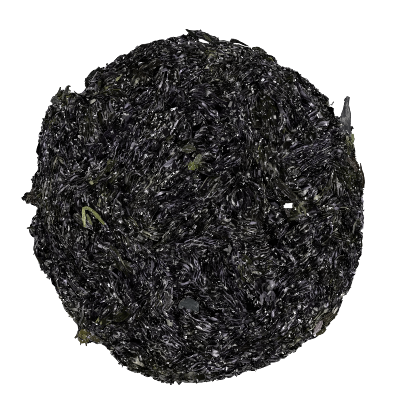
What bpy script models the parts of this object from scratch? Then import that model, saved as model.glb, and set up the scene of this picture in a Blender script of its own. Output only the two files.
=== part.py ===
"""A round cake of dried laver: thin seaweed fronds laid in a ring, pressed flat and dried into one matted disc.

Metres, +Z up. The cake lies flat. The origin is under the middle of its box, on the surface it rests on.
+X is the right of the cake and +Y its far side, as it is seen from above.
The whole mat is one solid out to its uneven edge: a crumpled top, a ragged rounded rim, a flat foot and one small
hole that goes right through.
"""

import math

import bmesh
import bpy
from mathutils import Matrix, Vector, noise

# ---------------------------------------------------------------- driving sizes (metres and degrees)
MEAN_RADIUS = 0.10153  # of the mat's edge, before its bumps
MAT_CENTRE = (0.00226, -0.00156)  # of the mat's edge circle, from the origin
THICK_MIDDLE = 0.0132  # of the mat away from its edge
THICK_RIM = 0.0078  # height at which the top turns down into the rim
BULGE_HEIGHT = 0.0042  # height at which the rim is widest
FOOT_INSET = 0.0062  # from the edge to the flat foot
SHOULDER = 0.0030  # from the edge in to where the top turns down
TOP_CRUMPLE = 0.0011  # coarse unevenness of the top
TOP_RIPPLE = 0.0007  # finer unevenness of the top
EDGE_RAGGED = 0.0009  # raggedness of the edge
GRID = 48  # steps across the top

# The edge isn't a true circle: waves per turn, cosine and sine sizes.
EDGE_WAVES = (
    (1, 0.00096, -0.00004),
    (2, -0.00124, -0.00052),
    (3, -0.00028, 0.00008),
    (4, 0.00020, 0.00059),
    (5, -0.00084, -0.00007),
)

# Places where the edge stands out or falls back: angle from +X, half width, how far. The first list is as thick as
# the mat. The second is thin loose tufts that stick out of the rim's middle.
EDGE_LOBES = (
    (73.5, 4.5, 0.0016),
    (90.0, 4.2, 0.0044),  # far edge
    (133.6, 1.7, -0.0042),  # notch beside the corner
    (142.8, 5.6, 0.0102),  # squared corner, far left
    (155.5, 4.4, 0.0046),
    (181.0, 1.6, -0.0042),
    (246.0, 2.5, 0.0032),
    (259.0, 7.0, 0.0032),  # near edge
    (318.0, 9.0, 0.0018),  # near right
)
EDGE_TUFTS = (
    (32.0, 3.0, 0.0045),  # spiky tuft, far right
    (35.8, 1.4, 0.0078),
    (89.0, 3.0, 0.0010),  # folded frond on the far edge
    (177.2, 1.5, 0.0052),  # tuft, left
    (187.6, 1.4, 0.0010),
    (228.7, 2.3, 0.0074),  # clear olive tuft, near left
    (345.6, 1.4, 0.0022),
)

# Furrows pressed into the top, between bundles of fronds: start, end, half width, depth, all from the mat's centre.
FURROWS = (
    ((-0.0776, 0.0620), (-0.0812, 0.0258), 0.0034, 0.0026),
    ((0.0004, 0.0730), (-0.0012, 0.0498), 0.0030, 0.0022),
    ((-0.0012, 0.0498), (0.0088, 0.0168), 0.0030, 0.0024),
    ((0.0226, 0.0378), (0.0286, 0.0288), 0.0040, 0.0022),
    ((0.0316, -0.0012), (0.0328, -0.0192), 0.0044, 0.0024),
    ((-0.0344, -0.0162), (0.0106, -0.0060), 0.0036, 0.0020),
    ((-0.0524, -0.0462), (-0.0512, -0.0672), 0.0036, 0.0022),
    ((0.0200, -0.0852), (0.0256, -0.0812), 0.0040, 0.0022),
    ((-0.0916, -0.0192), (-0.0908, -0.0342), 0.0026, 0.0022),
    ((0.0736, -0.0132), (0.0766, -0.0222), 0.0046, 0.0022),
    ((0.0906, 0.0138), (0.0930, -0.0102), 0.0032, 0.0022),
    ((-0.0554, 0.0106), (-0.0254, 0.0246), 0.0022, 0.0022),
    ((-0.0470, 0.0762), (-0.0230, 0.0882), 0.0036, 0.0020),
)

# Bundles that stand proud of the top: centre, half width, height.
MOUNDS = (
    ((-0.0332, 0.0588), 0.0078, 0.0020),
    ((-0.0182, 0.0268), 0.0064, 0.0018),
    ((0.0436, 0.0330), 0.0070, 0.0019),
    ((0.0256, 0.0672), 0.0082, 0.0016),
    ((-0.0642, -0.0006), 0.0074, 0.0020),
    ((-0.0332, -0.0408), 0.0090, 0.0018),
    ((-0.0224, -0.0540), 0.0070, 0.0016),
    ((0.0676, -0.0492), 0.0070, 0.0018),
    ((0.0604, -0.0210), 0.0070, 0.0014),
    ((-0.0906, 0.0160), 0.0060, 0.0014),
    ((0.0160, 0.0486), 0.0056, 0.0014),
)

# The hole that shows the surface under the cake.
HOLE_AT = (0.0548, 0.0014)  # from the mat's centre
HOLE_LONG, HOLE_SHORT = 0.0029, 0.0018  # half of its length and width
HOLE_TURN = 8.0
HOLE_FLARE = 1.35  # its mouth at the top, as a share of its waist


def gap_deg(a, b):
    """Signed angle from b to a, in -180 to 180."""
    return (a - b + 180.0) % 360.0 - 180.0


def bumps(angle, table):
    return sum(
        size * math.exp(-0.5 * (gap_deg(angle, at) / wide) ** 2)
        for at, wide, size in table
    )


def round_radius(angle):
    """Distance from the mat's centre to its edge, without the lobes and tufts."""
    t = math.radians(angle)
    waves = sum(c * math.cos(n * t) + s * math.sin(n * t) for n, c, s in EDGE_WAVES)
    return MEAN_RADIUS + waves


def edge_radius(angle, tufts=0.0, lobes=1.0):
    """Distance from the mat's centre to its edge, with a share of the lobes and of the thin tufts."""
    stands_out = lobes * bumps(angle, EDGE_LOBES) + tufts * bumps(angle, EDGE_TUFTS)
    return round_radius(angle) + stands_out


def ragged(angle, seed):
    """Small uneven steps of the torn edge."""
    t = math.radians(angle)
    p = Vector((math.cos(t) * 9.0, math.sin(t) * 9.0, seed))
    return EDGE_RAGGED * (noise.noise(p) + 0.7 * noise.noise(p * 2.7))


def from_line(x, y, start, end):
    """Distance from a point to a line's nearest point."""
    (ax, ay), (bx, by) = start, end
    dx, dy = bx - ax, by - ay
    t = max(0.0, min(1.0, ((x - ax) * dx + (y - ay) * dy) / (dx * dx + dy * dy)))
    return math.hypot(x - ax - t * dx, y - ay - t * dy)


def relief(x, y):
    """How far the top stands above or below its smooth form."""
    h = 0.0
    for start, end, wide, deep in FURROWS:
        h -= deep * math.exp(-0.5 * (from_line(x, y, start, end) / wide) ** 2)
    for (mx, my), wide, high in MOUNDS:
        h += high * math.exp(-0.5 * (math.hypot(x - mx, y - my) / wide) ** 2)
    h += TOP_CRUMPLE * 2.0 * noise.noise(Vector((x * 62.0, y * 62.0, 3.1)))
    h += TOP_RIPPLE * 2.0 * noise.noise(Vector((x * 165.0, y * 165.0, 7.7)))
    return h


def top_height(x, y, share):
    """Height of the top. share is 0 in the middle and 1 where the top turns down into the rim."""
    dome = math.sqrt(max(0.0, 1.0 - share**7))
    smooth = THICK_RIM + (THICK_MIDDLE - THICK_RIM) * dome
    return smooth + relief(x, y) * (0.35 + 0.65 * dome)


def square_to_disc(a, b):
    """Even map of the square -1..1 onto the unit disc: radius, and angle in degrees.

    The angle is midway between that of evenly spaced rings and that of an elliptical grid, which has no kink on the
    square's diagonals.
    """
    share = max(abs(a), abs(b))
    if share < 1e-9:
        return 0.0, 0.0
    if abs(a) > abs(b):
        rings = 45.0 * b / a + (0.0 if a > 0 else 180.0)
    else:
        rings = 90.0 - 45.0 * a / b + (0.0 if b > 0 else 180.0)
    x, y = a * math.sqrt(1.0 - b * b / 2.0), b * math.sqrt(1.0 - a * a / 2.0)
    ellipse = math.degrees(math.atan2(y, x))
    return share, rings + 0.5 * gap_deg(ellipse, rings)


def angle_of(co):
    return math.degrees(math.atan2(co.y, co.x))


def place(angle, r, z):
    t = math.radians(angle)
    return Vector((r * math.cos(t), r * math.sin(t), z))


def rim_rings():
    """The rim from the top's edge down to the foot: how far in from the edge, share of the tufts, height, wobble."""
    return (
        (0.46 * SHOULDER, 0.35, BULGE_HEIGHT + 0.80 * (THICK_RIM - BULGE_HEIGHT), 0.0006),
        (0.12 * SHOULDER, 0.80, BULGE_HEIGHT + 0.42 * (THICK_RIM - BULGE_HEIGHT), 0.0005),
        (0.0, 1.0, BULGE_HEIGHT, 0.0004),
        (0.14 * FOOT_INSET, 0.65, 0.50 * BULGE_HEIGHT, 0.0003),
        (0.42 * FOOT_INSET, 0.25, 0.18 * BULGE_HEIGHT, 0.0001),
        (FOOT_INSET, 0.0, 0.0, 0.0),
    )


def mat_mesh():
    bm = bmesh.new()
    bmesh.ops.create_grid(bm, x_segments=GRID, y_segments=GRID, size=1.0)
    for v in bm.verts:
        share, angle = square_to_disc(v.co.x, v.co.y)
        fade = share**8  # lobes and raggedness belong to the edge, and die out inwards
        r = share * (edge_radius(angle, 0.25 * fade, fade) - SHOULDER)
        r += fade * ragged(angle, 1.0)
        p = place(angle, r, 0.0)
        v.co = (p.x, p.y, top_height(p.x, p.y, share))
    for level, (inset, tufts, height, wobble) in enumerate(rim_rings()):
        edges = [e for e in bm.edges if e.is_boundary]
        made = bmesh.ops.extrude_edge_only(bm, edges=edges)
        for v in (g for g in made["geom"] if isinstance(g, bmesh.types.BMVert)):
            angle = angle_of(v.co)
            r = edge_radius(angle, tufts) - inset
            r += ragged(angle, 1.0 + 0.35 * level) * (0.6 if wobble == 0.0 else 1.0)
            z = height + wobble * 2.0 * noise.noise(place(angle, 14.0, 2.0 * level))
            v.co = place(angle, r, z)
    bmesh.ops.triangulate(bm, faces=bm.faces, quad_method="BEAUTY")
    foot = [e for e in bm.edges if e.is_boundary]
    bmesh.ops.contextual_create(bm, geom=foot)
    bmesh.ops.recalc_face_normals(bm, faces=bm.faces)
    bmesh.ops.translate(bm, verts=bm.verts, vec=(*MAT_CENTRE, 0.0))
    mesh = bpy.data.meshes.new("laver_cake")
    bm.to_mesh(mesh)
    bm.free()
    return mesh


def hole_mesh():
    bm = bmesh.new()
    bmesh.ops.create_cone(
        bm,
        cap_ends=True,
        segments=16,
        radius1=1.0,
        radius2=HOLE_FLARE,
        depth=2.4 * THICK_MIDDLE,
    )
    turn = Matrix.Rotation(math.radians(HOLE_TURN), 4, "Z")
    stretch = Matrix.Diagonal((HOLE_LONG, HOLE_SHORT, 1.0, 1.0))
    bmesh.ops.transform(bm, verts=bm.verts, matrix=turn @ stretch)
    mesh = bpy.data.meshes.new("hole_cutter")
    bm.to_mesh(mesh)
    bm.free()
    return mesh


def laver_material():
    mat = bpy.data.materials.new("dried_laver")
    mat.use_nodes = True
    bsdf = mat.node_tree.nodes["Principled BSDF"]
    bsdf.inputs["Base Color"].default_value = (0.023, 0.022, 0.021, 1.0)
    bsdf.inputs["Roughness"].default_value = 0.42
    bsdf.inputs["Metallic"].default_value = 0.0
    return mat


def main():
    for obj in list(bpy.data.objects):
        bpy.data.objects.remove(obj, do_unlink=True)
    parts = bpy.data.collections.new("dried_laver_cake")
    cutters = bpy.data.collections.new("cutters")
    for c in (parts, cutters):
        bpy.context.scene.collection.children.link(c)

    cake = bpy.data.objects.new("laver_cake", mat_mesh())
    cake.data.materials.append(laver_material())
    cake.data.shade_smooth()
    cake.data.set_sharp_from_angle(angle=math.radians(50.0))
    parts.objects.link(cake)

    cutter = bpy.data.objects.new("hole_cutter", hole_mesh())
    cutter.location = (
        MAT_CENTRE[0] + HOLE_AT[0],
        MAT_CENTRE[1] + HOLE_AT[1],
        0.5 * THICK_MIDDLE,
    )
    cutter.hide_render = True
    cutter.display_type = "WIRE"
    cutters.objects.link(cutter)

    hole = cake.modifiers.new("through_hole", "BOOLEAN")
    hole.operation = "DIFFERENCE"
    hole.solver = "EXACT"
    hole.object = cutter
    bpy.context.view_layer.update()


main()
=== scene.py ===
"""Looks of a round cake of dried laver: hundreds of thin crumpled fronds matted over a dark core.

Metres, +Z up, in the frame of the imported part. Every frond is a closed thin strip with lengthwise pleats. It follows
the part's surface, over the top, round the rim or under the foot, and lies at its own depth in the mat.
"""

import math
import bmesh
import bpy
import numpy as np
from mathutils.bvhtree import BVHTree
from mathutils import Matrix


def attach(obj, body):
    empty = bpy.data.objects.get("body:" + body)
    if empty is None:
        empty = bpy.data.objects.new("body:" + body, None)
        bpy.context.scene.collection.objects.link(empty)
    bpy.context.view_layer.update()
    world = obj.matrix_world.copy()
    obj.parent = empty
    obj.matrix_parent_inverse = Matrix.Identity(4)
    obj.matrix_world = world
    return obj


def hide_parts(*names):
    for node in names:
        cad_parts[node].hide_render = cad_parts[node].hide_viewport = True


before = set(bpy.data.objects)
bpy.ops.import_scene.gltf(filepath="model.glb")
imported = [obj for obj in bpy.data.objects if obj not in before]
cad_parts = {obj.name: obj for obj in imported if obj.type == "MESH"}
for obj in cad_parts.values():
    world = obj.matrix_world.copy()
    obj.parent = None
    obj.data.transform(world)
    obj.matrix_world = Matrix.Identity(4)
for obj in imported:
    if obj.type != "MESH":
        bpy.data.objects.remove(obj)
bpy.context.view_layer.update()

MM = 0.001
SEED = 41

# ------------------------------------------------------------------ the mat's measures
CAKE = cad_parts["laver_cake"]
MAT_CENTRE = np.array((2.26, -1.56, 6.0)) * MM

# Where light comes through the mat: place, half length, half width in mm, turn in degrees.
GAPS = (
    (55.9, 0.7, 2.4, 1.2, -4),
    (54.0, 1.5, 1.3, 0.6, -12),
    (6.1, 98.9, 3.2, 0.8, -22),
    (26.8, 97.4, 2.2, 0.5, -18),
    (32.9, 95.5, 1.5, 0.4, -8),
    (98.2, 35.0, 1.0, 3.2, 0),
    (-82.8, -54.2, 3.6, 1.0, -67),
    (68.9, -82.7, 6.5, 1.0, 31),
    (54.6, -92.6, 4.5, 1.0, 27),
    (-85.1, -48.5, 5.5, 1.0, -60),
    (-85.8, 64.6, 3.6, 0.9, 66),
    (-48.7, 88.4, 4.0, 1.0, 30),
    (-38.8, 94.4, 4.5, 1.0, 30),
    (53.3, 86.9, 5.0, 1.0, -33),
    (88.9, 58.6, 0.7, 2.2, 0),
    (103.2, -11.5, 1.1, 4.0, 0),
    (61.5, 83.1, 4.0, 1.0, -40),
    (80.8, 67.0, 3.5, 1.0, -50),
    (-53.9, -86.2, 4.5, 1.1, -37),
    (-96.8, -2.4, 1.3, 2.4, 0),
    (103.6, -3.0, 1.0, 7.0, 0),
    (103.2, -19.0, 1.0, 6.0, 0),
    (-9.2, 104.1, 5.0, 1.6, 12),
    (-69.4, 71.6, 4.0, 2.3, 0),
    (86.5, 61.0, 1.8, 6.2, 0),
    (98.6, 25.4, 0.5, 1.8, 8),
    (91.6, 60.5, 2.6, 7.5, 0),
    (-95.3, 24.2, 1.0, 3.6, 4),
    (90.8, -55.4, 1.8, 0.8, 75),
)

# How the bundles of fronds lie on the top: place in mm, heading in degrees from +X, reach in mm.
LAY = (
    (-88, 36, 88, 11),
    (-75, 44, 94, 9),
    (-64, 48, 100, 8),
    (-89, -12, 90, 11),
    (-82, 2, 84, 8),
    (-81, -28, 98, 9),
    (-64, 16, 20, 6),
    (-55, 20, 48, 8),
    (-48, 26, 62, 7),
    (-40, 7, 65, 8),
    (-56, -9, 115, 8),
    (-47, -18, 122, 8),
    (-39, -26, 128, 8),
    (-73, -34, 99, 9),
    (-39, 50, 39, 8),
    (-26, 48, 53, 9),
    (-14, 50, 60, 7),
    (-30, 38, 48, 8),
    (-14, 34, 50, 9),
    (-12, 16, 40, 9),
    (-49, 84, 20, 9),
    (-36, 83, 44, 8),
    (-24, 83, 50, 7),
    (-56, 74, 35, 8),
    (-79, 66, 124, 9),
    (-13, 92, 6, 10),
    (4, 92, -4, 9),
    (28, 83, 22, 8),
    (28, 74, 45, 8),
    (28, 66, 64, 8),
    (54, 74, 132, 9),
    (54, 57, 112, 8),
    (62, 67, 126, 8),
    (45, 49, 88, 8),
    (36, 38, 86, 8),
    (37, 26, 97, 8),
    (45, 16, 103, 8),
    (71, 49, 40, 9),
    (79, 42, 37, 10),
    (70, 33, 38, 9),
    (87, 40, 20, 8),
    (62, 24, 15, 8),
    (94, 24, 135, 8),
    (53, 7, 172, 8),
    (80, -2, 32, 9),
    (74, -20, 44, 10),
    (68, -32, 50, 10),
    (80, -54, 78, 8),
    (88, -48, 75, 8),
    (72, -68, 54, 10),
    (56, -72, 52, 9),
    (50, -50, 55, 9),
    (28, -76, 6, 9),
    (2, -70, 142, 9),
    (-12, -68, 136, 9),
    (-24, -78, 130, 9),
    (2, -86, 142, 9),
    (-32, -60, 52, 9),
    (-54, -60, 60, 9),
    (10, -36, 100, 9),
    (28, -43, 110, 9),
    (20, -34, 96, 9),
    (-12, -8, 36, 9),
    (-4, -9, 35, 8),
    (4, -1, 26, 8),
    (-11, 75, 102, 6),
    (-17, 76, 94, 6),
    (-36, 15, 35, 6),
    (33, -23, 176, 6),
    (33, -16, 178, 6),
    (39, -20, 5, 6),
    (28, -11, 158, 6),
    (-6, 48, 54, 6),
    (-9, 36, 56, 6),
    (-9, 3, 162, 6),
    (-14, -58, 55, 6),
    (-43, 37, 89, 6),
    (27, 22, 42, 6),
    (20, 32, 37, 6),
    (20, 28, 22, 5),
    (21, 13, 41, 6),
    (-28, -42, 65, 6),
    (-31, -71, 108, 6),
    (93, -19, 154, 6),
    (93, -12, 121, 6),
    (-47, -69, 15, 6),
    (30, 90, 94, 6),
    (3, 81, 62, 6),
    (66, -42, 19, 6),
    (-50, 66, 129, 6),
    (33, -56, 119, 6),
    (39, -59, 66, 6),
    (27, -52, 147, 6),
    (45, -56, 68, 6),
    (11, -62, 12, 6),
    (6, 48, 38, 6),
    (84, 36, 172, 5),
    (5, -75, 34, 6),
    (4, -97, 50, 6),
    (54, -29, 139, 6),
    (39, -32, 10, 6),
    (-59, -15, 121, 6),
    (56, 52, 104, 6),
    (-68, 12, 13, 6),
    (-60, -47, 167, 6),
    (9, -20, 153, 6),
    (-78, -30, 129, 5),
    (-37, -86, 178, 5),
    (-45, -50, 101, 5),
    (-29, 77, 42, 5),
    (-16, 36, 49, 5),
    (-8, 1, 165, 4),
    (94, 15, 137, 5),
    (34, -86, 31, 6),
    (-19, 84, 6, 4),
    (16, -18, 172, 5),
    (52, 15, 60, 4),
    (90, 3, 147, 5),
    (29, -91, 78, 4),
    (-52, -30, 25, 5),
    (72, -11, 23, 5),
    (-27, -22, 175, 5),
    (22, -4, 89, 5),
    (-35, 15, 36, 5),
    (33, 17, 119, 5),
    (11, 58, 144, 6),
)


# Where longer fronds lie side by side on the top: place, heading, how far across, length in mm, how many.
STRANDS = (
    (72, 35, 30, 13, 32, 10),
    (82, 43, 33, 6, 18, 4),
    (-89, 8, 86, 7, 34, 6),
    (-92, 34, 84, 6, 24, 4),
    (-63, 48, 102, 7, 20, 5),
    (-79, 22, 76, 6, 24, 4),
    (-31, 45, 58, 11, 22, 7),
    (-20, 34, 50, 8, 20, 5),
    (-76, -26, 128, 8, 24, 5),
    (-39, -15, 152, 7, 24, 5),
    (-45, -27, 122, 7, 22, 5),
    (37, 30, 98, 9, 20, 6),
    (-3, -5, 35, 7, 22, 4),
    (60, 70, 126, 7, 20, 4),
    (70, -28, 46, 8, 20, 4),
    (84, -50, 70, 8, 18, 5),
    (-30, -40, 120, 9, 16, 6),
    (-55, 22, 52, 8, 20, 4),
    (30, -40, 105, 8, 18, 4),
    (0, 78, 20, 8, 18, 4),
    (-86, 27, 97, 5, 28, 4),
    (-30, 27, 48, 9, 24, 5),
    (11, 58, 144, 7, 16, 4),
    (-62, -48, 168, 6, 16, 4),
)


def rng_for(name):
    """One random stream for each kind of piece, the same each run."""
    return np.random.default_rng([SEED] + [ord(c) for c in name])


def unit(v):
    return v / np.maximum(np.linalg.norm(v, axis=-1, keepdims=True), 1e-12)


def smooth01(t):
    t = np.clip(t, 0.0, 1.0)
    return t * t * (3.0 - 2.0 * t)


# ------------------------------------------------------------------ smooth random fields
class Field:
    """Smooth random values over space, about -1 to 1."""

    def __init__(self, rng, scale, terms=14):
        k = rng.normal(size=(terms, 3))
        self.k = unit(k) * (2.0 * math.pi / scale) * rng.uniform(0.6, 1.6, (terms, 1))
        self.phase = rng.uniform(0, 2 * math.pi, terms)
        self.gain = math.sqrt(2.0 / terms) * 0.8

    def __call__(self, p):
        return self.gain * np.sin(p @ self.k.T + self.phase).sum(-1)


# ------------------------------------------------------------------ the part's surface
class Skin:
    """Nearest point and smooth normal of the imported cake."""

    def __init__(self, obj):
        me = obj.data
        me.calc_loop_triangles()
        co = np.zeros(len(me.vertices) * 3)
        me.vertices.foreach_get("co", co)
        co = co.reshape(-1, 3)
        tri = np.zeros(len(me.loop_triangles) * 3, int)
        me.loop_triangles.foreach_get("vertices", tri)
        keys, first, same = np.unique(
            np.round(co * 1e6).astype(np.int64),
            axis=0,
            return_index=True,
            return_inverse=True,
        )
        self.co = co[first]
        self.tri = same.reshape(-1)[tri.reshape(-1, 3)]
        a, b, c = (self.co[self.tri[:, k]] for k in range(3))
        face_n = np.cross(b - a, c - a)
        vn = np.zeros_like(self.co)
        for k in range(3):
            np.add.at(vn, self.tri[:, k], face_n)
        self.vn = unit(vn)
        self.tree = BVHTree.FromPolygons(
            [tuple(v) for v in self.co], [tuple(int(i) for i in t) for t in self.tri]
        )

    def nearest(self, pts):
        loc = np.empty_like(pts)
        idx = np.empty(len(pts), int)
        find = self.tree.find_nearest
        for i, p in enumerate(pts):
            hit = find(p)
            loc[i] = hit[0]
            idx[i] = hit[2]
        t = self.tri[idx]
        a, b, c = self.co[t[:, 0]], self.co[t[:, 1]], self.co[t[:, 2]]
        area = np.linalg.norm(np.cross(b - a, c - a), axis=1) + 1e-18
        wa = np.linalg.norm(np.cross(b - loc, c - loc), axis=1) / area
        wb = np.linalg.norm(np.cross(c - loc, a - loc), axis=1) / area
        wc = np.clip(1.0 - wa - wb, 0.0, 1.0)
        n = (
            self.vn[t[:, 0]] * wa[:, None]
            + self.vn[t[:, 1]] * wb[:, None]
            + self.vn[t[:, 2]] * wc[:, None]
        )
        return loc, unit(n)

    def cast(self, starts, ways):
        """First hits of rays; rows that miss are dropped."""
        hits = []
        for s, w in zip(starts, ways):
            hit = self.tree.ray_cast(s, w)
            if hit[0] is not None:
                hits.append(tuple(hit[0]))
        return np.array(hits)


SKIN = Skin(CAKE)


# ------------------------------------------------------------------ which way fronds lie
_lay = np.array(LAY, float)
_turn_noise = Field(np.random.default_rng(SEED + 1), 22 * MM)
_under_noise = Field(np.random.default_rng(SEED + 2), 55 * MM)


def known(p):
    """How far the headings at points on the top are set by the table, 0 to 1."""
    d2 = (p[:, None, 0] - _lay[None, :, 0] * MM) ** 2 + (p[:, None, 1] - _lay[None, :, 1] * MM) ** 2
    return np.minimum(np.exp(-0.5 * d2 / (_lay[None, :, 3] * MM) ** 2).sum(1), 1.0)


def lay_angle(p):
    """Heading of the fronds at points on the top, in radians."""
    d2 = (p[:, None, 0] - _lay[None, :, 0] * MM) ** 2 + (
        p[:, None, 1] - _lay[None, :, 1] * MM
    ) ** 2
    w = np.exp(-0.5 * d2 / (_lay[None, :, 3] * MM * 0.8) ** 2)
    two = 2.0 * np.radians(_lay[None, :, 2])
    rel = p[:, :2] - MAT_CENTRE[:2]
    around = np.arctan2(rel[:, 1], rel[:, 0]) + math.pi / 2
    r = np.linalg.norm(rel, axis=1)
    wr = 0.10 + 0.8 * smooth01((r - 88 * MM) / (14 * MM))
    s = (w * np.sin(two)).sum(1) + wr * np.sin(2 * around)
    c = (w * np.cos(two)).sum(1) + wr * np.cos(2 * around)
    loose = 0.50 - 0.34 * np.minimum(w.sum(1), 1.0)
    return 0.5 * np.arctan2(s, c) + loose * _turn_noise(p)


def heading(p, n, d):
    """Unit direction the fronds follow at a point, on the side that d points to."""
    top = smooth01((n[:, 2] - 0.25) / 0.5)[:, None]
    under = smooth01((-n[:, 2] - 0.25) / 0.5)[:, None]
    a = lay_angle(p)
    f = np.stack([np.cos(a), np.sin(a), np.zeros_like(a)], 1)
    b = 2.4 * _under_noise(p)
    g = np.stack([np.cos(b), np.sin(b), np.zeros_like(b)], 1)
    rel = p - MAT_CENTRE
    t = unit(np.stack([-rel[:, 1], rel[:, 0], np.zeros(len(p))], 1))
    f, g, t = (v * np.sign((v * d).sum(1) + 1e-9)[:, None] for v in (f, g, t))
    v = f * top + g * under + t * (1.0 - top - under)
    v -= n * (v * n).sum(1)[:, None]
    return unit(v)


# ------------------------------------------------------------------ fronds
def turn_about(v, axis, angle):
    c, s = np.cos(angle)[:, None], np.sin(angle)[:, None]
    return v * c + np.cross(axis, v) * s + axis * (axis * v).sum(1)[:, None] * (1 - c)


def trace(start, way, length, steps, rng, steer=0.28, curl=0.09):
    """Lines that start in their middle and follow the surface both ways. Returns points and normals (n, steps, 3)."""
    n = len(start)
    p0, n0 = SKIN.nearest(start)
    d0 = way - n0 * (way * n0).sum(1)[:, None]
    d0 = unit(d0)
    P = np.zeros((n, steps, 3))
    N = np.zeros((n, steps, 3))
    mid = steps // 2
    P[:, mid], N[:, mid] = p0, n0
    ds = (length / (steps - 1))[:, None]
    amp = rng.normal(size=(n, 2)) * curl * (ds / (1.3 * MM))
    rate = rng.uniform(0.25, 0.9, (n, 2))
    phase = rng.uniform(0, 2 * math.pi, (n, 2))
    for sign, order in ((1, range(mid + 1, steps)), (-1, range(mid - 1, -1, -1))):
        p, nn, d = p0.copy(), n0.copy(), sign * d0
        for j in order:
            bend = (amp * np.sin(rate * j + phase)).sum(1) * sign
            d = turn_about(d, nn, bend)
            d = unit(d * (1 - steer) + heading(p, nn, d) * steer)
            d = unit(d - nn * (d * nn).sum(1)[:, None])
            q, nn = SKIN.nearest(p + d * ds)
            d = unit(q - p)
            p = q
            P[:, j], N[:, j] = p, nn
    return P, N


def soften(a, times=1):
    """Smooths along the lines, ends kept."""
    for _ in range(times):
        b = a.copy()
        b[:, 1:-1] = 0.25 * a[:, :-2] + 0.5 * a[:, 1:-1] + 0.25 * a[:, 2:]
        a = b
    return a


def wander(rng, n, steps, knots, rows=None, sharp=False):
    """Random curves over 0..1, one (or rows) for each line, of unit spread; sharp ones have kinks."""
    shape = (n, knots + 1) if rows is None else (n, knots + 1, rows)
    k = rng.normal(size=shape)
    t = np.linspace(0, knots, steps)
    i = np.clip(t.astype(int), 0, knots - 1)
    f = t - i if sharp else smooth01(t - i)
    if rows is None:
        return k[:, i] * (1 - f) + k[:, i + 1] * f
    return k[:, i] * (1 - f)[None, :, None] + k[:, i + 1] * f[None, :, None]


class Batch:
    """Strips of one cross-section count, gathered into one mesh."""

    def __init__(self):
        self.parts = []

    def add(self, V, uvc, tags):
        """V (n, steps, ring, 3); uvc (n, steps, ring, 3) is place along, place across and crest; tags name -> (n,)."""
        self.parts.append((V, uvc, tags))

    def triangles(self):
        return sum(
            V.shape[0] * ((V.shape[1] - 1) * V.shape[2] * 2 + 2 * (V.shape[2] - 2))
            for V, _, _ in self.parts
        )


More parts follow.
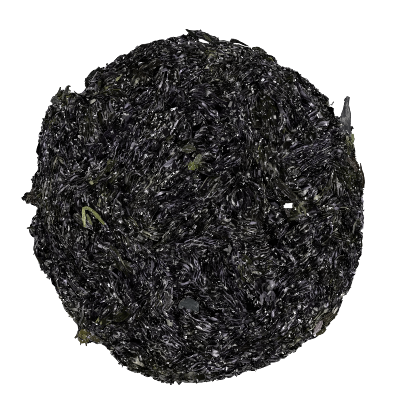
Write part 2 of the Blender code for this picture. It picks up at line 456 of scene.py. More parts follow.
def strips(
    P,
    N,
    rng,
    width,
    depth,
    *,
    pleats=8,
    low=4,
    pleat=0.16 * MM,
    wave=0.8 * MM,
    thick=0.16 * MM,
    roll=0.5,
    twist=0.5,
    dip=1.4 * MM,
    ruffle=0.06 * MM,
    crumple=0.02 * MM,
    crease=0.42 * MM,
    kink=4.2,
    fold=0.60 * MM,
    fold_pitch=3.6 * MM,
    taper=0.22,
    tip=0.22,
    tip_up=0.25,
    arch=-0.2,
    own=None,
):
    """Closed pleated strips along lines on the surface; own is a width profile (n, steps) instead of narrowing ends."""
    n, steps = P.shape[:2]
    if own is None:
        P, N = soften(P, 2), unit(soften(N, 2))
    s = np.linspace(0, 1, steps)
    span = np.linalg.norm(np.diff(P, axis=1), axis=2).sum(1)
    along = s[None, :] * span[:, None]

    calm = rng.uniform(0.55, 1.15, n)
    # how deep it lies, with kinks as it weaves up and down; its ends mostly tuck in
    knots = max(2, steps // 4)
    h = depth[:, None] + wave * 0.8 * wander(rng, n, steps, knots, sharp=True)
    for side in (s, 1 - s):
        fall = 1 - smooth01(side / 0.3)
        way = np.where(rng.random(n) < tip_up, -0.6, 1.0) * rng.uniform(0.3, 1.0, n)
        h = h - dip * way[:, None] * fall[None, :]
    C = P + N * h[:, :, None]
    T = unit(np.gradient(C, axis=1))
    B = unit(np.cross(N, T))
    U = unit(np.cross(T, B))

    # its roll about its own line
    r = roll * rng.normal(size=n)[:, None] + twist * wander(
        rng, n, steps, max(2, steps // 6)
    )
    r = 0.95 * np.tanh(r / 0.95)
    c, si = np.cos(r)[..., None], np.sin(r)[..., None]
    lat = B * c + U * si
    up = -B * si + U * c

    # narrowing ends
    t0 = taper * rng.uniform(0.5, 1.5, n)[:, None]
    t1 = taper * rng.uniform(0.5, 1.5, n)[:, None]
    prof = np.minimum(
        smooth01(0.15 + 0.85 * s[None] / t0), smooth01(0.15 + 0.85 * (1 - s[None]) / t1)
    )
    prof = tip + (1 - tip) * prof
    prof = prof * (1 + 0.25 * wander(rng, n, steps, knots, sharp=True))
    prof = np.clip(prof, tip * 0.7, 1.5)
    if own is not None:
        prof = own * (1 + 0.08 * wander(rng, n, steps, max(2, steps // 2), sharp=True))

    a = np.linspace(-1, 1, pleats)
    lateral = a[None, None, :] + (0.5 / pleats) * wander(
        rng, n, steps, max(2, steps // 4), pleats
    )
    zig = np.where(np.arange(pleats) % 2 == 0, 1.0, -1.0)
    z = zig[None, None, :] * (
        0.7 + 0.5 * wander(rng, n, steps, max(2, steps // 4), pleats, sharp=True)
    )
    z = z + 0.45 * wander(rng, n, steps, max(2, steps // 4), pleats, sharp=True)
    z = z * pleat * (calm * rng.uniform(0.6, 1.4, n))[:, None, None]
    # creases: each lengthwise line kinks up and down on its own
    z = z + crease * (calm * rng.uniform(0.6, 1.4, n))[:, None, None] * wander(
        rng, n, steps, max(2, int(round(steps / kink))), pleats, sharp=True
    )
    # broader folds that run along it and drift sideways
    half = 0.5 * width[:, None] * prof
    at = half[..., None] * lateral
    for k, gain in ((1.0, 1.0), (0.47, 0.8)):
        pitch = fold_pitch * k * rng.uniform(0.7, 1.4, n)[:, None, None]
        slide = rng.uniform(0, 1, n)[:, None] + 0.22 * wander(rng, n, steps, max(2, steps // 5))
        turn = at / pitch + slide[..., None]
        saw = 4 * np.abs(turn - np.floor(turn + 0.5)) - 1
        tall = 0.8 + 0.4 * wander(rng, n, steps, max(2, steps // 5), sharp=True)
        z = z + gain * fold * calm[:, None, None] * tall[..., None] * saw
    edge = np.zeros(pleats)
    edge[0] = edge[-1] = 1.0
    z = z + ruffle * edge * rng.normal(size=(n, steps, pleats))
    cup = (arch + 0.14 * rng.normal(size=n))[:, None, None]
    z = z + cup * (a**2)[None, None, :] * width[:, None, None]
    z = z + crumple * rng.uniform(0.4, 1.5, n)[:, None, None] * rng.normal(
        size=z.shape
    )
    # flatter in the dark gaps, livelier in the bright bundles
    lively = (1 - 0.6 * at_spots(C, DARK_SPOTS)) * (1 + 0.10 * at_spots(C, LIGHT_SPOTS)) * np.clip(np.exp(0.6 * _relief_and_shade_noise(C)), 0.3, 1.4)
    z = z * (np.clip(prof, 0, 1) * np.minimum(lively, 1.4))[..., None]
    crest = np.ones_like(z)
    crest[..., 1:-1] = np.clip(
        (z[..., 1:-1] - 0.5 * (z[..., :-2] + z[..., 2:])) / (0.45 * MM), 0, 1
    )

    top = (
        C[:, :, None, :]
        + lat[:, :, None, :] * (half[..., None] * lateral)[..., None]
        + up[:, :, None, :] * z[..., None]
    )
    t = thick * (0.7 + 0.3 * np.clip(prof, 0, 1))
    # the underside has fewer points, each under the lowest of the pleats next to it
    b = np.linspace(-1, 1, low) * (1 - 0.5 / pleats)
    near = np.abs(a[None, :] - b[:, None]) < (1.6 / low + 0.5 / pleats)
    zb = np.where(near[None, None], z[:, :, None, :], np.inf).min(3) - t[..., None]
    under = (
        C[:, :, None, :]
        + lat[:, :, None, :] * (half[..., None] * b)[..., None]
        + up[:, :, None, :] * zb[..., None]
    )
    V = np.concatenate([top, under[:, :, ::-1]], axis=2)
    across = np.concatenate([a, b[::-1]])[None, None, :] * half[..., None]
    uvc = np.stack(
        [np.broadcast_to(along[:, :, None], across.shape), across], axis=-1
    )
    crest = np.concatenate([crest, np.zeros((n, steps, low))], axis=2)
    uvc = np.concatenate([uvc, crest[..., None]], axis=-1)
    return V, uvc


def in_gap(x, y, gap, margin=1.0):
    """Which places lie in a see-through gap."""
    gx, gy, long, short, turn = gap
    x, y = x - gx * MM, y - gy * MM
    c, s = math.cos(math.radians(turn)), math.sin(math.radians(turn))
    return np.hypot((c * x + s * y) / long, (-s * x + c * y) / short) < margin * MM


def clear_of_gaps(V):
    """Which strips stay out of the see-through gaps."""
    ok = np.ones(len(V), bool)
    for gap in GAPS:
        ok &= ~in_gap(V[..., 0], V[..., 1], gap).reshape(len(V), -1).any(1)
    return ok


def pressed(V, over=1.7 * MM, beside=0.6 * MM, give=0.2):
    """Presses back what stands too far out of the part's surface."""
    flat = V.reshape(-1, 3)
    loc, n = SKIN.nearest(flat)
    out = ((flat - loc) * n).sum(1)
    limit = beside + (over - beside) * smooth01((n[:, 2] - 0.45) / 0.4)
    extra = np.maximum(out - limit, 0.0)
    # hollows between the bundles
    hollow = np.clip(-_relief_and_shade_noise(flat) - 0.3, 0, 1) * smooth01((n[:, 2] - 0.35) / 0.3)
    sink = 2.4 * MM * at_spots(flat, DARK_SPOTS) + 1.6 * MM * hollow
    return (flat - n * (extra * (1 - give) + sink)[:, None]).reshape(V.shape)


def above_floor(V, soft=0.5 * MM, low=0.02 * MM):
    """Presses what is near the floor flat onto it."""
    z = V[..., 2]
    t = np.minimum((z - soft) / soft, 0.0)
    V[..., 2] = np.where(z < soft, low + (soft - low) * np.exp(t), z)
    return V


def build(name, batch, material):
    """One joined mesh of closed strips, with a texture cell for each strip."""
    vs, loops, starts, uvs, tags = [], [], [], [], {}
    total = sum(V.shape[0] for V, _, _ in batch.parts)
    cols = max(1, int(round(math.sqrt(total * 2.6))))
    rows = int(math.ceil(total / cols))
    v0 = l0 = cell0 = 0
    along, across, crest = [], [], []
    for V, uvc, tg in batch.parts:
        n, steps, ring = V.shape[:3]
        vs.append(V.reshape(-1, 3))
        along.append(uvc[..., 0].reshape(-1))
        across.append(uvc[..., 1].reshape(-1))
        crest.append(uvc[..., 2].reshape(-1))
        for k, val in tg.items():
            tags.setdefault(k, []).append(np.repeat(val, steps * ring))
        base = v0 + np.arange(n)[:, None, None] * (steps * ring)
        i = np.arange(steps - 1)[None, :, None]
        j = np.arange(ring)[None, None, :]
        j2 = (j + 1) % ring
        quad = np.stack(
            [
                base + i * ring + j,
                base + i * ring + j2,
                base + (i + 1) * ring + j2,
                base + (i + 1) * ring + j,
            ],
            -1,
        )
        # cell of each strip: the wall fills most of it, the two end caps sit beside it
        cell = cell0 + np.arange(n)
        cu, cv = (cell % cols) / cols, (cell // cols) / rows
        u_of = lambda jj: 0.04 + 0.82 * jj / ring
        v_of = lambda ii: 0.03 + 0.94 * ii / (steps - 1)
        jn, in_ = j + 1, i + 1
        shape = (n, steps - 1, ring)
        corner = [(j, i), (jn, i), (jn, in_), (j, in_)]
        quv = np.stack(
            [
                np.stack(
                    [
                        np.broadcast_to(
                            cu[:, None, None] + u_of(jj) / cols, shape
                        ),
                        np.broadcast_to(
                            cv[:, None, None] + v_of(ii) / rows, shape
                        ),
                    ],
                    -1,
                )
                for jj, ii in corner
            ],
            -2,
        )
        loops.append(quad.reshape(-1))
        starts.append(l0 + 4 * np.arange(quad.size // 4))
        uvs.append(quv.reshape(-1, 2))
        l0 += quad.size
        k = np.arange(ring)
        ang = 2 * math.pi * k / ring
        for end, flip, vc in ((0, True, 0.10), (steps - 1, False, 0.90)):
            order = k[::-1] if flip else k
            cap = base[:, 0] + end * ring + order[None, :]
            cuv = np.stack(
                [
                    cu[:, None] + (0.93 + 0.045 * np.cos(ang[order]))[None] / cols,
                    cv[:, None] + (vc + 0.05 * np.sin(ang[order]))[None] / rows,
                ],
                -1,
            )
            loops.append(cap.reshape(-1))
            starts.append(l0 + ring * np.arange(n))
            uvs.append(cuv.reshape(-1, 2))
            l0 += cap.size
        v0 += n * steps * ring
        cell0 += n
    co = np.concatenate(vs)
    loops, starts, uvs = (np.concatenate(a) for a in (loops, starts, uvs))
    me = bpy.data.meshes.new(name)
    me.vertices.add(len(co))
    me.vertices.foreach_set("co", co.astype(np.float32).ravel())
    me.loops.add(len(loops))
    me.loops.foreach_set("vertex_index", loops.astype(np.int32))
    me.polygons.add(len(starts))
    me.polygons.foreach_set("loop_start", starts.astype(np.int32))
    me.update(calc_edges=True)
    me.uv_layers.new(name="OFBake").data.foreach_set(
        "uv", uvs.astype(np.float32).ravel()
    )
    tags = {k: np.concatenate(v) for k, v in tags.items()}
    tags["along"] = np.concatenate(along) / MM
    tags["across"] = np.concatenate(across) / MM
    tags["crest"] = np.concatenate(crest)
    spots(co, tags)
    for k, val in tags.items():
        me.attributes.new(k, "FLOAT", "POINT").data.foreach_set(
            "value", val.astype(np.float32)
        )
    me.shade_smooth()
    me.set_sharp_from_angle(angle=math.radians(26.0))
    me.validate()
    ob = bpy.data.objects.new(name, me)
    bpy.context.scene.collection.objects.link(ob)
    me.materials.append(material)
    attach(ob, "root")
    print("PIECE", name, "strips", total, "triangles", batch.triangles())
    return ob


# ------------------------------------------------------------------ materials
def node(nt, kind, **values):
    n = nt.nodes.new(kind)
    for k, v in values.items():
        if k.startswith("in_"):
            n.inputs[k[3:].replace("_", " ")].default_value = v
        else:
            setattr(n, k, v)
    return n


def ramp(nt, source, stops):
    r = nt.nodes.new("ShaderNodeValToRGB")
    e = r.color_ramp.elements
    while len(e) < len(stops):
        e.new(0.5)
    for el, (at, col) in zip(e, stops):
        el.position = at
        el.color = (*col, 1.0)
    nt.links.new(source, r.inputs["Fac"])
    return r.outputs["Color"]


def attribute(nt, name):
    return node(nt, "ShaderNodeAttribute", attribute_name=name).outputs["Fac"]


def math_node(nt, op, a, b=None):
    m = node(nt, "ShaderNodeMath", operation=op)
    for k, v in enumerate((a, b)):
        if v is None:
            continue
        if isinstance(v, (int, float)):
            m.inputs[k].default_value = v
        else:
            nt.links.new(v, m.inputs[k])
    return m.outputs[0]


def map_range(nt, source, low, high, to_low, to_high):
    m = node(nt, "ShaderNodeMapRange")
    for k, v in zip(
        ("From Min", "From Max", "To Min", "To Max"), (low, high, to_low, to_high)
    ):
        m.inputs[k].default_value = v
    nt.links.new(source, m.inputs["Value"])
    return m.outputs[0]


# dark scales the frond colour, and below 1 it is painted shade; edge scales the painted crest highlights
def laver_material(name, dark=1.0, shine=0.7, edge=1.0, own=False):
    mat = bpy.data.materials.new(name)
    mat.use_nodes = True
    nt = mat.node_tree
    bsdf = nt.nodes["Principled BSDF"]
    link = nt.links.new

    tint = attribute(nt, "tint")
    olive = attribute(nt, "olive")
    place = node(nt, "ShaderNodeCombineXYZ")
    link(attribute(nt, "across"), place.inputs["X"])
    link(attribute(nt, "along"), place.inputs["Y"])
    link(attribute(nt, "seed"), place.inputs["Z"])

    def noise(scale, detail, roughness):
        at = node(nt, "ShaderNodeVectorMath", operation="MULTIPLY")
        link(place.outputs[0], at.inputs[0])
        at.inputs[1].default_value = scale
        n = node(
            nt, "ShaderNodeTexNoise", in_Scale=1.0, in_Detail=detail, in_Roughness=roughness
        )
        link(at.outputs[0], n.inputs["Vector"])
        return n.outputs["Fac"]

    streak = noise((2.2, 0.13, 7.0), 2.5, 0.55)
    blotch = noise((0.5, 0.22, 3.0), 2.0, 0.5)
    breaks = noise((0.9, 0.20, 5.0), 2.0, 0.5)

    face = ramp(
        nt,
        tint,
        (
            (0.00, (0.0028, 0.0020, 0.0040)),
            (0.30, (0.0025, 0.0019, 0.0027)),
            (0.55, (0.0022, 0.0018, 0.0014)),
            (0.80, (0.0030, 0.0028, 0.0016)),
            (1.00, (0.0060, 0.0038, 0.0024)),
        ),
    )
    gain = map_range(nt, streak, 0.3, 0.7, 0.4 * dark, 1.8 * dark)
    # the face attribute carries each frond's own tone and the painted light and shade of the spots
    gain = math_node(nt, "MULTIPLY", gain, attribute(nt, "face"))
    shade = node(nt, "ShaderNodeVectorMath", operation="SCALE")
    link(face, shade.inputs[0])
    link(gain, shade.inputs["Scale"])
    green = ramp(
        nt,
        blotch,
        (
            (0.30, (0.012, 0.013, 0.005)),
            (0.52, (0.045, 0.050, 0.016)),
            (0.72, (0.150, 0.168, 0.055)),
        ),
    )
    mix = node(nt, "ShaderNodeMix", data_type="RGBA")
    link(olive, mix.inputs["Factor"])
    link(shade.outputs[0], mix.inputs["A"])
    link(green, mix.inputs["B"])

    # painted highlights: thin pale lines along the crests and edges stand in for the light they catch
    line = map_range(nt, attribute(nt, "crest"), 0.55, 1.0, 0.0, 1.0)
    line = math_node(nt, "MULTIPLY", line, map_range(nt, breaks, 0.38, 0.55, 0.0, edge))
    line = math_node(nt, "MULTIPLY", line, attribute(nt, "line"))
    painted_highlight = ramp(
        nt,
        tint,
        (
            (0.00, (0.60, 0.56, 0.74)),
            (0.45, (0.62, 0.60, 0.66)),
            (0.70, (0.62, 0.63, 0.50)),
            (1.00, (0.60, 0.52, 0.43)),
        ),
    )
    painted_highlight_mix = node(nt, "ShaderNodeMix", data_type="RGBA")
    link(map_range(nt, olive, 0.0, 0.25, 0.0, 1.0), painted_highlight_mix.inputs["Factor"])
    link(painted_highlight, painted_highlight_mix.inputs["A"])
    painted_highlight_mix.inputs["B"].default_value = (0.48, 0.50, 0.22, 1.0)
    highlighted = node(nt, "ShaderNodeMix", data_type="RGBA")
    link(line, highlighted.inputs["Factor"])
    under = mix.outputs["Result"]
    if own:
        rgb = node(nt, "ShaderNodeCombineColor")
        for k in ("Red", "Green", "Blue"):
            link(attribute(nt, "own_" + k[0].lower()), rgb.inputs[k])
        own_gain = node(nt, "ShaderNodeVectorMath", operation="SCALE")
        link(rgb.outputs[0], own_gain.inputs[0])
        link(map_range(nt, streak, 0.3, 0.7, 0.45, 1.6), own_gain.inputs["Scale"])
        under = own_gain.outputs[0]
    link(under, highlighted.inputs["A"])
    link(painted_highlight_mix.outputs["Result"], highlighted.inputs["B"])
    link(highlighted.outputs["Result"], bsdf.inputs["Base Color"])

    link(map_range(nt, blotch, 0.3, 0.7, 0.07, 0.24), bsdf.inputs["Roughness"])
    bump = node(nt, "ShaderNodeBump", in_Strength=0.7, in_Distance=0.10 * MM)
    link(streak, bump.inputs["Height"])
    link(bump.outputs["Normal"], bsdf.inputs["Normal"])
    bsdf.inputs["Metallic"].default_value = 0.0
    bsdf.inputs["IOR"].default_value = 1.5
    bsdf.inputs["Specular IOR Level"].default_value = shine
    return mat


def core_material():
    mat = bpy.data.materials.new("matted_core")
    mat.use_nodes = True
    nt = mat.node_tree
    bsdf = nt.nodes["Principled BSDF"]
    geo = node(nt, "ShaderNodeNewGeometry")
    noise = node(
        nt, "ShaderNodeTexNoise", in_Scale=420.0, in_Detail=3.0, in_Roughness=0.6
    )
    nt.links.new(geo.outputs["Position"], noise.inputs["Vector"])
    # near black, darker than the fronds: the laver's own dark colour, darkened further as painted shade for the deep
    # gaps where the core shows
    col = ramp(
        nt,
        noise.outputs["Fac"],
        ((0.3, (0.0004, 0.0004, 0.0005)), (0.7, (0.0018, 0.0017, 0.0016))),
    )
    nt.links.new(col, bsdf.inputs["Base Color"])
    bsdf.inputs["Roughness"].default_value = 0.5
    bsdf.inputs["Specular IOR Level"].default_value = 0.0
    bump = node(nt, "ShaderNodeBump", in_Strength=0.7, in_Distance=0.5 * MM)
    nt.links.new(noise.outputs["Fac"], bump.inputs["Height"])
    nt.links.new(bump.outputs["Normal"], bsdf.inputs["Normal"])
    return mat


# ------------------------------------------------------------------ seeds
def spread(rng, count, reach):
    """Evenly scattered places over the top, within a share of the edge."""
    k = np.arange(count) + 0.5
    r = np.sqrt(k / count)
    a = k * 2.399963 + rng.uniform(0, 6.28)
    xy = np.stack([r * np.cos(a), r * np.sin(a)], 1) * reach
    xy += rng.normal(size=xy.shape) * reach * 0.45 / math.sqrt(count)
    return xy + MAT_CENTRE[:2]


def top_points(xy, down=True):
    z = 0.05 if down else -0.02
    starts = np.column_stack([xy, np.full(len(xy), z)])
    way = (0, 0, -1) if down else (0, 0, 1)
    return SKIN.cast(starts, [way] * len(xy))


def bundles(rng, count, reach, per, width, fan=0.16, down=True):
    """Starts and headings of fronds that lie side by side in small bundles."""
    hub = top_points(spread(rng, count, reach), down)
    if down:
        a = lay_angle(hub)
        own = 0.45 - 0.27 * known(hub)
    else:
        a = 2.4 * _under_noise(hub)
        own = 0.3
    a = a + rng.normal(size=len(hub)) * own
    start, way, kin = [], [], []
    for i, (h, ang) in enumerate(zip(hub, a)):
        m = int(rng.integers(per[0], per[1] + 1))
        for k in range(m):
            off = (k - (m - 1) / 2) * width * rng.uniform(0.7, 1.2)
            slip = rng.normal() * 3.0 * MM
            ang2 = ang + (k - (m - 1) / 2) * fan * rng.uniform(0.2, 1.3)
            start.append(
                h
                + off * np.array((-math.sin(ang), math.cos(ang), 0))
                + slip * np.array((math.cos(ang), math.sin(ang), 0))
            )
            way.append((math.cos(ang2), math.sin(ang2), 0))
            kin.append(i)
    return np.array(start), np.array(way), np.array(kin)


# Places whose colour or shine differs, in mm: x, y, reach, strength.
OLIVE_SPOTS = (
    (0, 26, 4, 0.20),
    (-3, 33, 4, 0.16),
    (63, -3, 4, 0.22),
    (39, 32, 5, 0.16),
    (49, 44, 5, 0.18),
    (45, 62, 6, 0.10),
    (55, 76, 4, 0.14),
    (78, 8, 5, 0.14),
    (82, 58, 5, 0.14),
    (94, 38, 4, 0.14),
    (83, -66, 6, 0.14),
    (100, 20, 3, 0.12),
    (9, 101, 4, 0.12),
    (-56, 9, 6, 0.12),
    (-55, 55, 5, 0.12),
    (-86, 51, 4, 0.18),
    (-30, -98, 6, 0.10),
    (-28, -54, 4, 0.10),
    (-78, 67, 5, 0.12),
    (-29, -20, 5, 0.08),
    (-63, -4, 7, 0.16),
    (-68, -69, 5, 0.12),
    (55, -74, 5, 0.10),
    (90, 20, 7, 0.08),
)
PURPLE_SPOTS = (
    (-18, -38, 6, 0.7),
    (-34, -46, 6, 0.7),
    (-15, 27, 5, 0.6),
    (-57, -37, 7, 0.6),
    (-27, -38, 5, 0.5),
    (66, -47, 6, 0.6),
    (-62, -59, 7, 0.5),
    (94, -38, 5, 0.6),
    (27, 67, 6, 0.4),
    (13, -68, 7, 0.4),
    (33, -32, 7, 0.4),
    (24, 0, 6, 0.4),
    (55, 54, 6, 0.4),
    (-73, 7, 7, 0.5),
    (-62, 28, 6, 0.4),
    (-35, -78, 7, 0.4),
)
BROWN_SPOTS = (
    (76, -71, 6, 0.8),
    (97, 22, 6, 0.8),
    (-38, -96, 7, 0.7),
    (-52, -83, 6, 0.6),
    (65, -27, 5, 0.7),
    (-96, 4, 6, 0.8),
    (-24, -89, 7, 0.6),
    (-10, -103, 7, 0.6),
    (-74, -62, 6, 0.5),
    (-31, 80, 5, 0.5),
    (30, 96, 6, 0.3),
)
# Bundles that catch the light and gaps that don't, in mm: x, y, half length, half width, heading, strength.
LIGHT_SPOTS = (
    (-16, -58, 7, 4, 125, 1.6),
    (-28, -41, 8, 5, 120, 1.8),
    (-64, 4, 7, 5, 110, 2.2),
    (-61, -9, 5, 4, 120, 0.6),
    (39, 27, 10, 3, 102, 1.6),
    (-87, 16, 10, 3, 60, 1.0),
    (86, -47, 8, 3, 68, 1.6),
    (-32, 42, 8, 3, 88, 1.4),
    (-26, 56, 5, 4, 57, 1.6),
    (-17, 27, 6, 3, 22, 2.2),
    (-61, 29, 4, 4, 0, 1.8),
    (68, -50, 6, 3, 96, 1.8),
    (1, 28, 4, 3, 40, 1.4),
    (-12, -93, 6, 3, 132, 0.9),
    (51, 41, 6, 3, 139, 1.3),
    (-68, -41, 6, 2, 92, 1.3),
    (73, -72, 5, 2, 41, 1.6),
    (66, -20, 4, 3, 6, 1.4),
    (-60, -25, 4, 3, 3, 1.0),
    (44, -10, 5, 2, 71, 1.2),
    (-7, -45, 5, 2, 127, 1.2),
    (45, -87, 5, 2, 93, 1.8),
    (-11, 1, 4, 2, 164, 1.3),
    (59, -68, 5, 2, 55, 1.0),
    (-24, 14, 5, 2, 164, 0.9),
    (-57, -36, 4, 2, 123, 1.1),
    (49, 34, 5, 2, 152, 1.2),
    (-17, 77, 3, 3, 98, 1.6),
    (-35, 0, 3, 2, 94, 0.8),
    (41, 41, 4, 2, 7, 1.1),
    (-20, 67, 4, 2, 46, 1.4),
    (-63, -59, 4, 2, 26, 1.2),
    (16, 47, 3, 3, 0, 1.8),
    (16, -68, 3, 2, 118, 1.1),
    (29, 67, 3, 2, 52, 1.6),
    (27, 81, 3, 2, 163, 1.0),
    (-25, 45, 5, 2, 47, 1.1),
    (-84, 48, 3, 2, 103, 1.6),
    (-83, -40, 4, 2, 103, 0.9),
    (-48, 35, 4, 1, 75, 1.6),
    (25, 9, 2, 2, 44, 2.0),
    (37, 6, 3, 1, 133, 1.6),
    (31, 0, 3, 1, 52, 1.6),
    (73, 37, 9, 2, 38, 1.2),
    (80, 42, 9, 2, 36, 1.2),
    (62, 22, 7, 2, 20, 1.1),
)
DARK_SPOTS = (
    (-74, 49, 8, 4, 101, 0.85),
    (-77, 38, 6, 3, 95, 0.8),
    (-88, -29, 10, 3, 93, 0.95),
    (4, 49, 5, 4, 28, 0.85),
    (9, 23, 6, 3, 90, 0.85),
    (29, 34, 5, 2, 68, 0.75),
    (33, -59, 6, 4, 90, 0.75),
    (-3, -51.5, 6, 2, 172, 0.9),
    (33, 48, 5, 2, 103, 0.85),
    (77, -18, 5, 2, 34, 0.8),
    (52, 24, 5, 2, 128, 0.8),
    (-73, -13, 6, 2, 59, 0.8),
    (-7, 47, 7, 2, 50, 0.8),
    (21, -88, 4, 2, 28, 0.7),
    (19, 36, 6, 2, 28, 0.7),
    (11, -7, 4, 2, 109, 0.8),
    (-83, -4, 4, 3, 87, 0.8),
    (93, -5, 7, 2, 73, 0.7),
    (26, 27, 4, 2, 0, 0.6),
    (-79, 28, 4, 2, 74, 0.6),
    (-63, 60, 3, 2, 123, 0.8),
    (-1, 58, 5, 1, 45, 0.8),
    (8, 33, 3, 2, 147, 0.8),
    (-47, -68, 5, 2, 21, 0.9),
    (-34, 81, 3, 2, 166, 0.7),
    (4, 39, 3, 2, 12, 0.7),
    (-49, 67, 3, 2, 138, 0.8),
    (-10, 75, 4, 1, 106, 0.7),
    (-16, 40, 3, 1, 61, 0.7),
    (13, 59, 5, 2, 174, 0.8),
    (-44, 82, 3, 2, 140, 0.7),
    (-1, 69, 3, 1, 62, 0.7),
    (-51, -8, 3, 2, 162, 0.7),
    (-40, 12, 7, 1, 33, 0.7),
    (53, -6, 4, 3, 0, 0.8),
    (-3, -50, 5, 1, 10, 0.9),
)


STRAND_SPOTS = tuple((x, y, 0.42 * length, 0.6 * across, turn, 1.0) for x, y, turn, across, length, _ in STRANDS)


def at_spots(co, rows):
    """Strength of the nearest of the spots at points on the upper side."""
    s = np.zeros(co.shape[:-1])
    for row in rows:
        x, y = co[..., 0] - row[0] * MM, co[..., 1] - row[1] * MM
        if len(row) == 4:
            q = (x**2 + y**2) / (row[2] * MM) ** 2
        else:
            c, si = math.cos(math.radians(row[4])), math.sin(math.radians(row[4]))
            q = ((c * x + si * y) / (0.75 * row[2] * MM)) ** 2 + ((c * y - si * x) / (0.75 * row[3] * MM)) ** 2
        s = np.maximum(s, row[-1] * np.exp(-0.5 * q))
    return s * smooth01((co[..., 2] - 3.4 * MM) / (1.6 * MM))


def spots(co, tags):
    """Adds the places of their own colour to the values of each point, and the painted light and shade of the bright
    bundles, the dark gaps and the hollows.
    """
    tags["olive"] = np.clip(tags["olive"] + at_spots(co, OLIVE_SPOTS) * tags["mood"], 0, 0.5)
    tags["tint"] = np.clip(
        tags["tint"] * (1 - at_spots(co, PURPLE_SPOTS))
        + (1 - tags["tint"]) * at_spots(co, BROWN_SPOTS),
        0,
        1,
    )
    # painted light and shade: face colour and crest lines are raised in the bright bundles, lowered in the dark gaps,
    # and follow the noise that also sinks the hollows
    gain = (1 + at_spots(co, LIGHT_SPOTS)) * (1 - at_spots(co, DARK_SPOTS))
    gain = gain * np.exp(1.2 * _relief_and_shade_noise(co) - 0.24)
    tags["line"] = np.clip(tags["line"] * gain, 0, 1)
    tags["face"] = np.minimum(tags["face"] * gain, 2.6)


_relief_and_shade_noise = Field(np.random.default_rng(SEED + 7), 9 * MM, 24)
_olive_noise = Field(np.random.default_rng(SEED + 5), 30 * MM)


def tags_for(rng, P, kin=None):
    """Colour of each frond, and the strength of its painted crest highlights."""
    n = len(P)
    mid = P[:, P.shape[1] // 2]
    tint = np.clip(
        0.33 + 0.17 * rng.normal(size=n) + 0.15 * _under_noise(mid * 1.7), 0.08, 0.8
    )
    olive = np.clip(
        (_olive_noise(mid) - 0.75) * 0.25 + 0.05 * rng.normal(size=n), 0, 0.22
    )
    olive = np.where(rng.random(n) < 0.55, olive * 0.3, olive)
    face = np.clip(np.exp(0.75 * rng.normal(size=n)), 0.35, 2.5)
    line = np.clip(np.exp(-1.5 + 1.0 * rng.normal(size=n)), 0, 0.85)
    return {
        "tint": tint,
        "olive": olive,
        "face": face,
        "line": line,
        "mood": rng.uniform(0.1, 1.8, n) ** 2 / 1.5,
        "seed": rng.uniform(0, 100, n),
    }


def lay_group(batch, rng, start, way, kin, length, steps, width, depth, **kw):
    """Traces fronds and adds their strips to a batch. Shy ones stay out of the dark gaps."""
    n = len(start)
    shy, short, sober = kw.pop("shy", False), kw.pop("short", False), kw.pop("sober", 1.0)
    P, N = trace(start, way, length, steps, rng, kw.pop("steer", 0.22), kw.pop("curl", 0.10))
    V, uvc = strips(P, N, rng, width, depth, **kw)
    V = pressed(V)
    keep = clear_of_gaps(V)
    if shy:
        keep &= at_spots(P, DARK_SPOTS).mean(1) < 0.46
    if short:
        keep &= at_spots(P, STRAND_SPOTS).mean(1) < 0.5
    V = above_floor(V[keep])
    tags = {k: v[keep] for k, v in tags_for(rng, P, kin).items()}
    tags["olive"], tags["mood"] = tags["olive"] * sober, tags["mood"] * sober
    batch.add(V, uvc[keep], tags)
    return V


# ------------------------------------------------------------------ fronds of their own
# Each row: its line in mm as x, y, z (z from the floor, or over the mat where lift is set), widths along it,
# colour, how strong its painted crest highlights are, and its folds in mm.
def B(line, widths, colour, painted_highlight=0.2, fold=0.3, lift=None, arch=-0.1, rough=1.0):
    return dict(line=line, widths=widths, colour=colour, painted_highlight=painted_highlight, fold=fold, lift=lift, arch=arch, rough=rough)


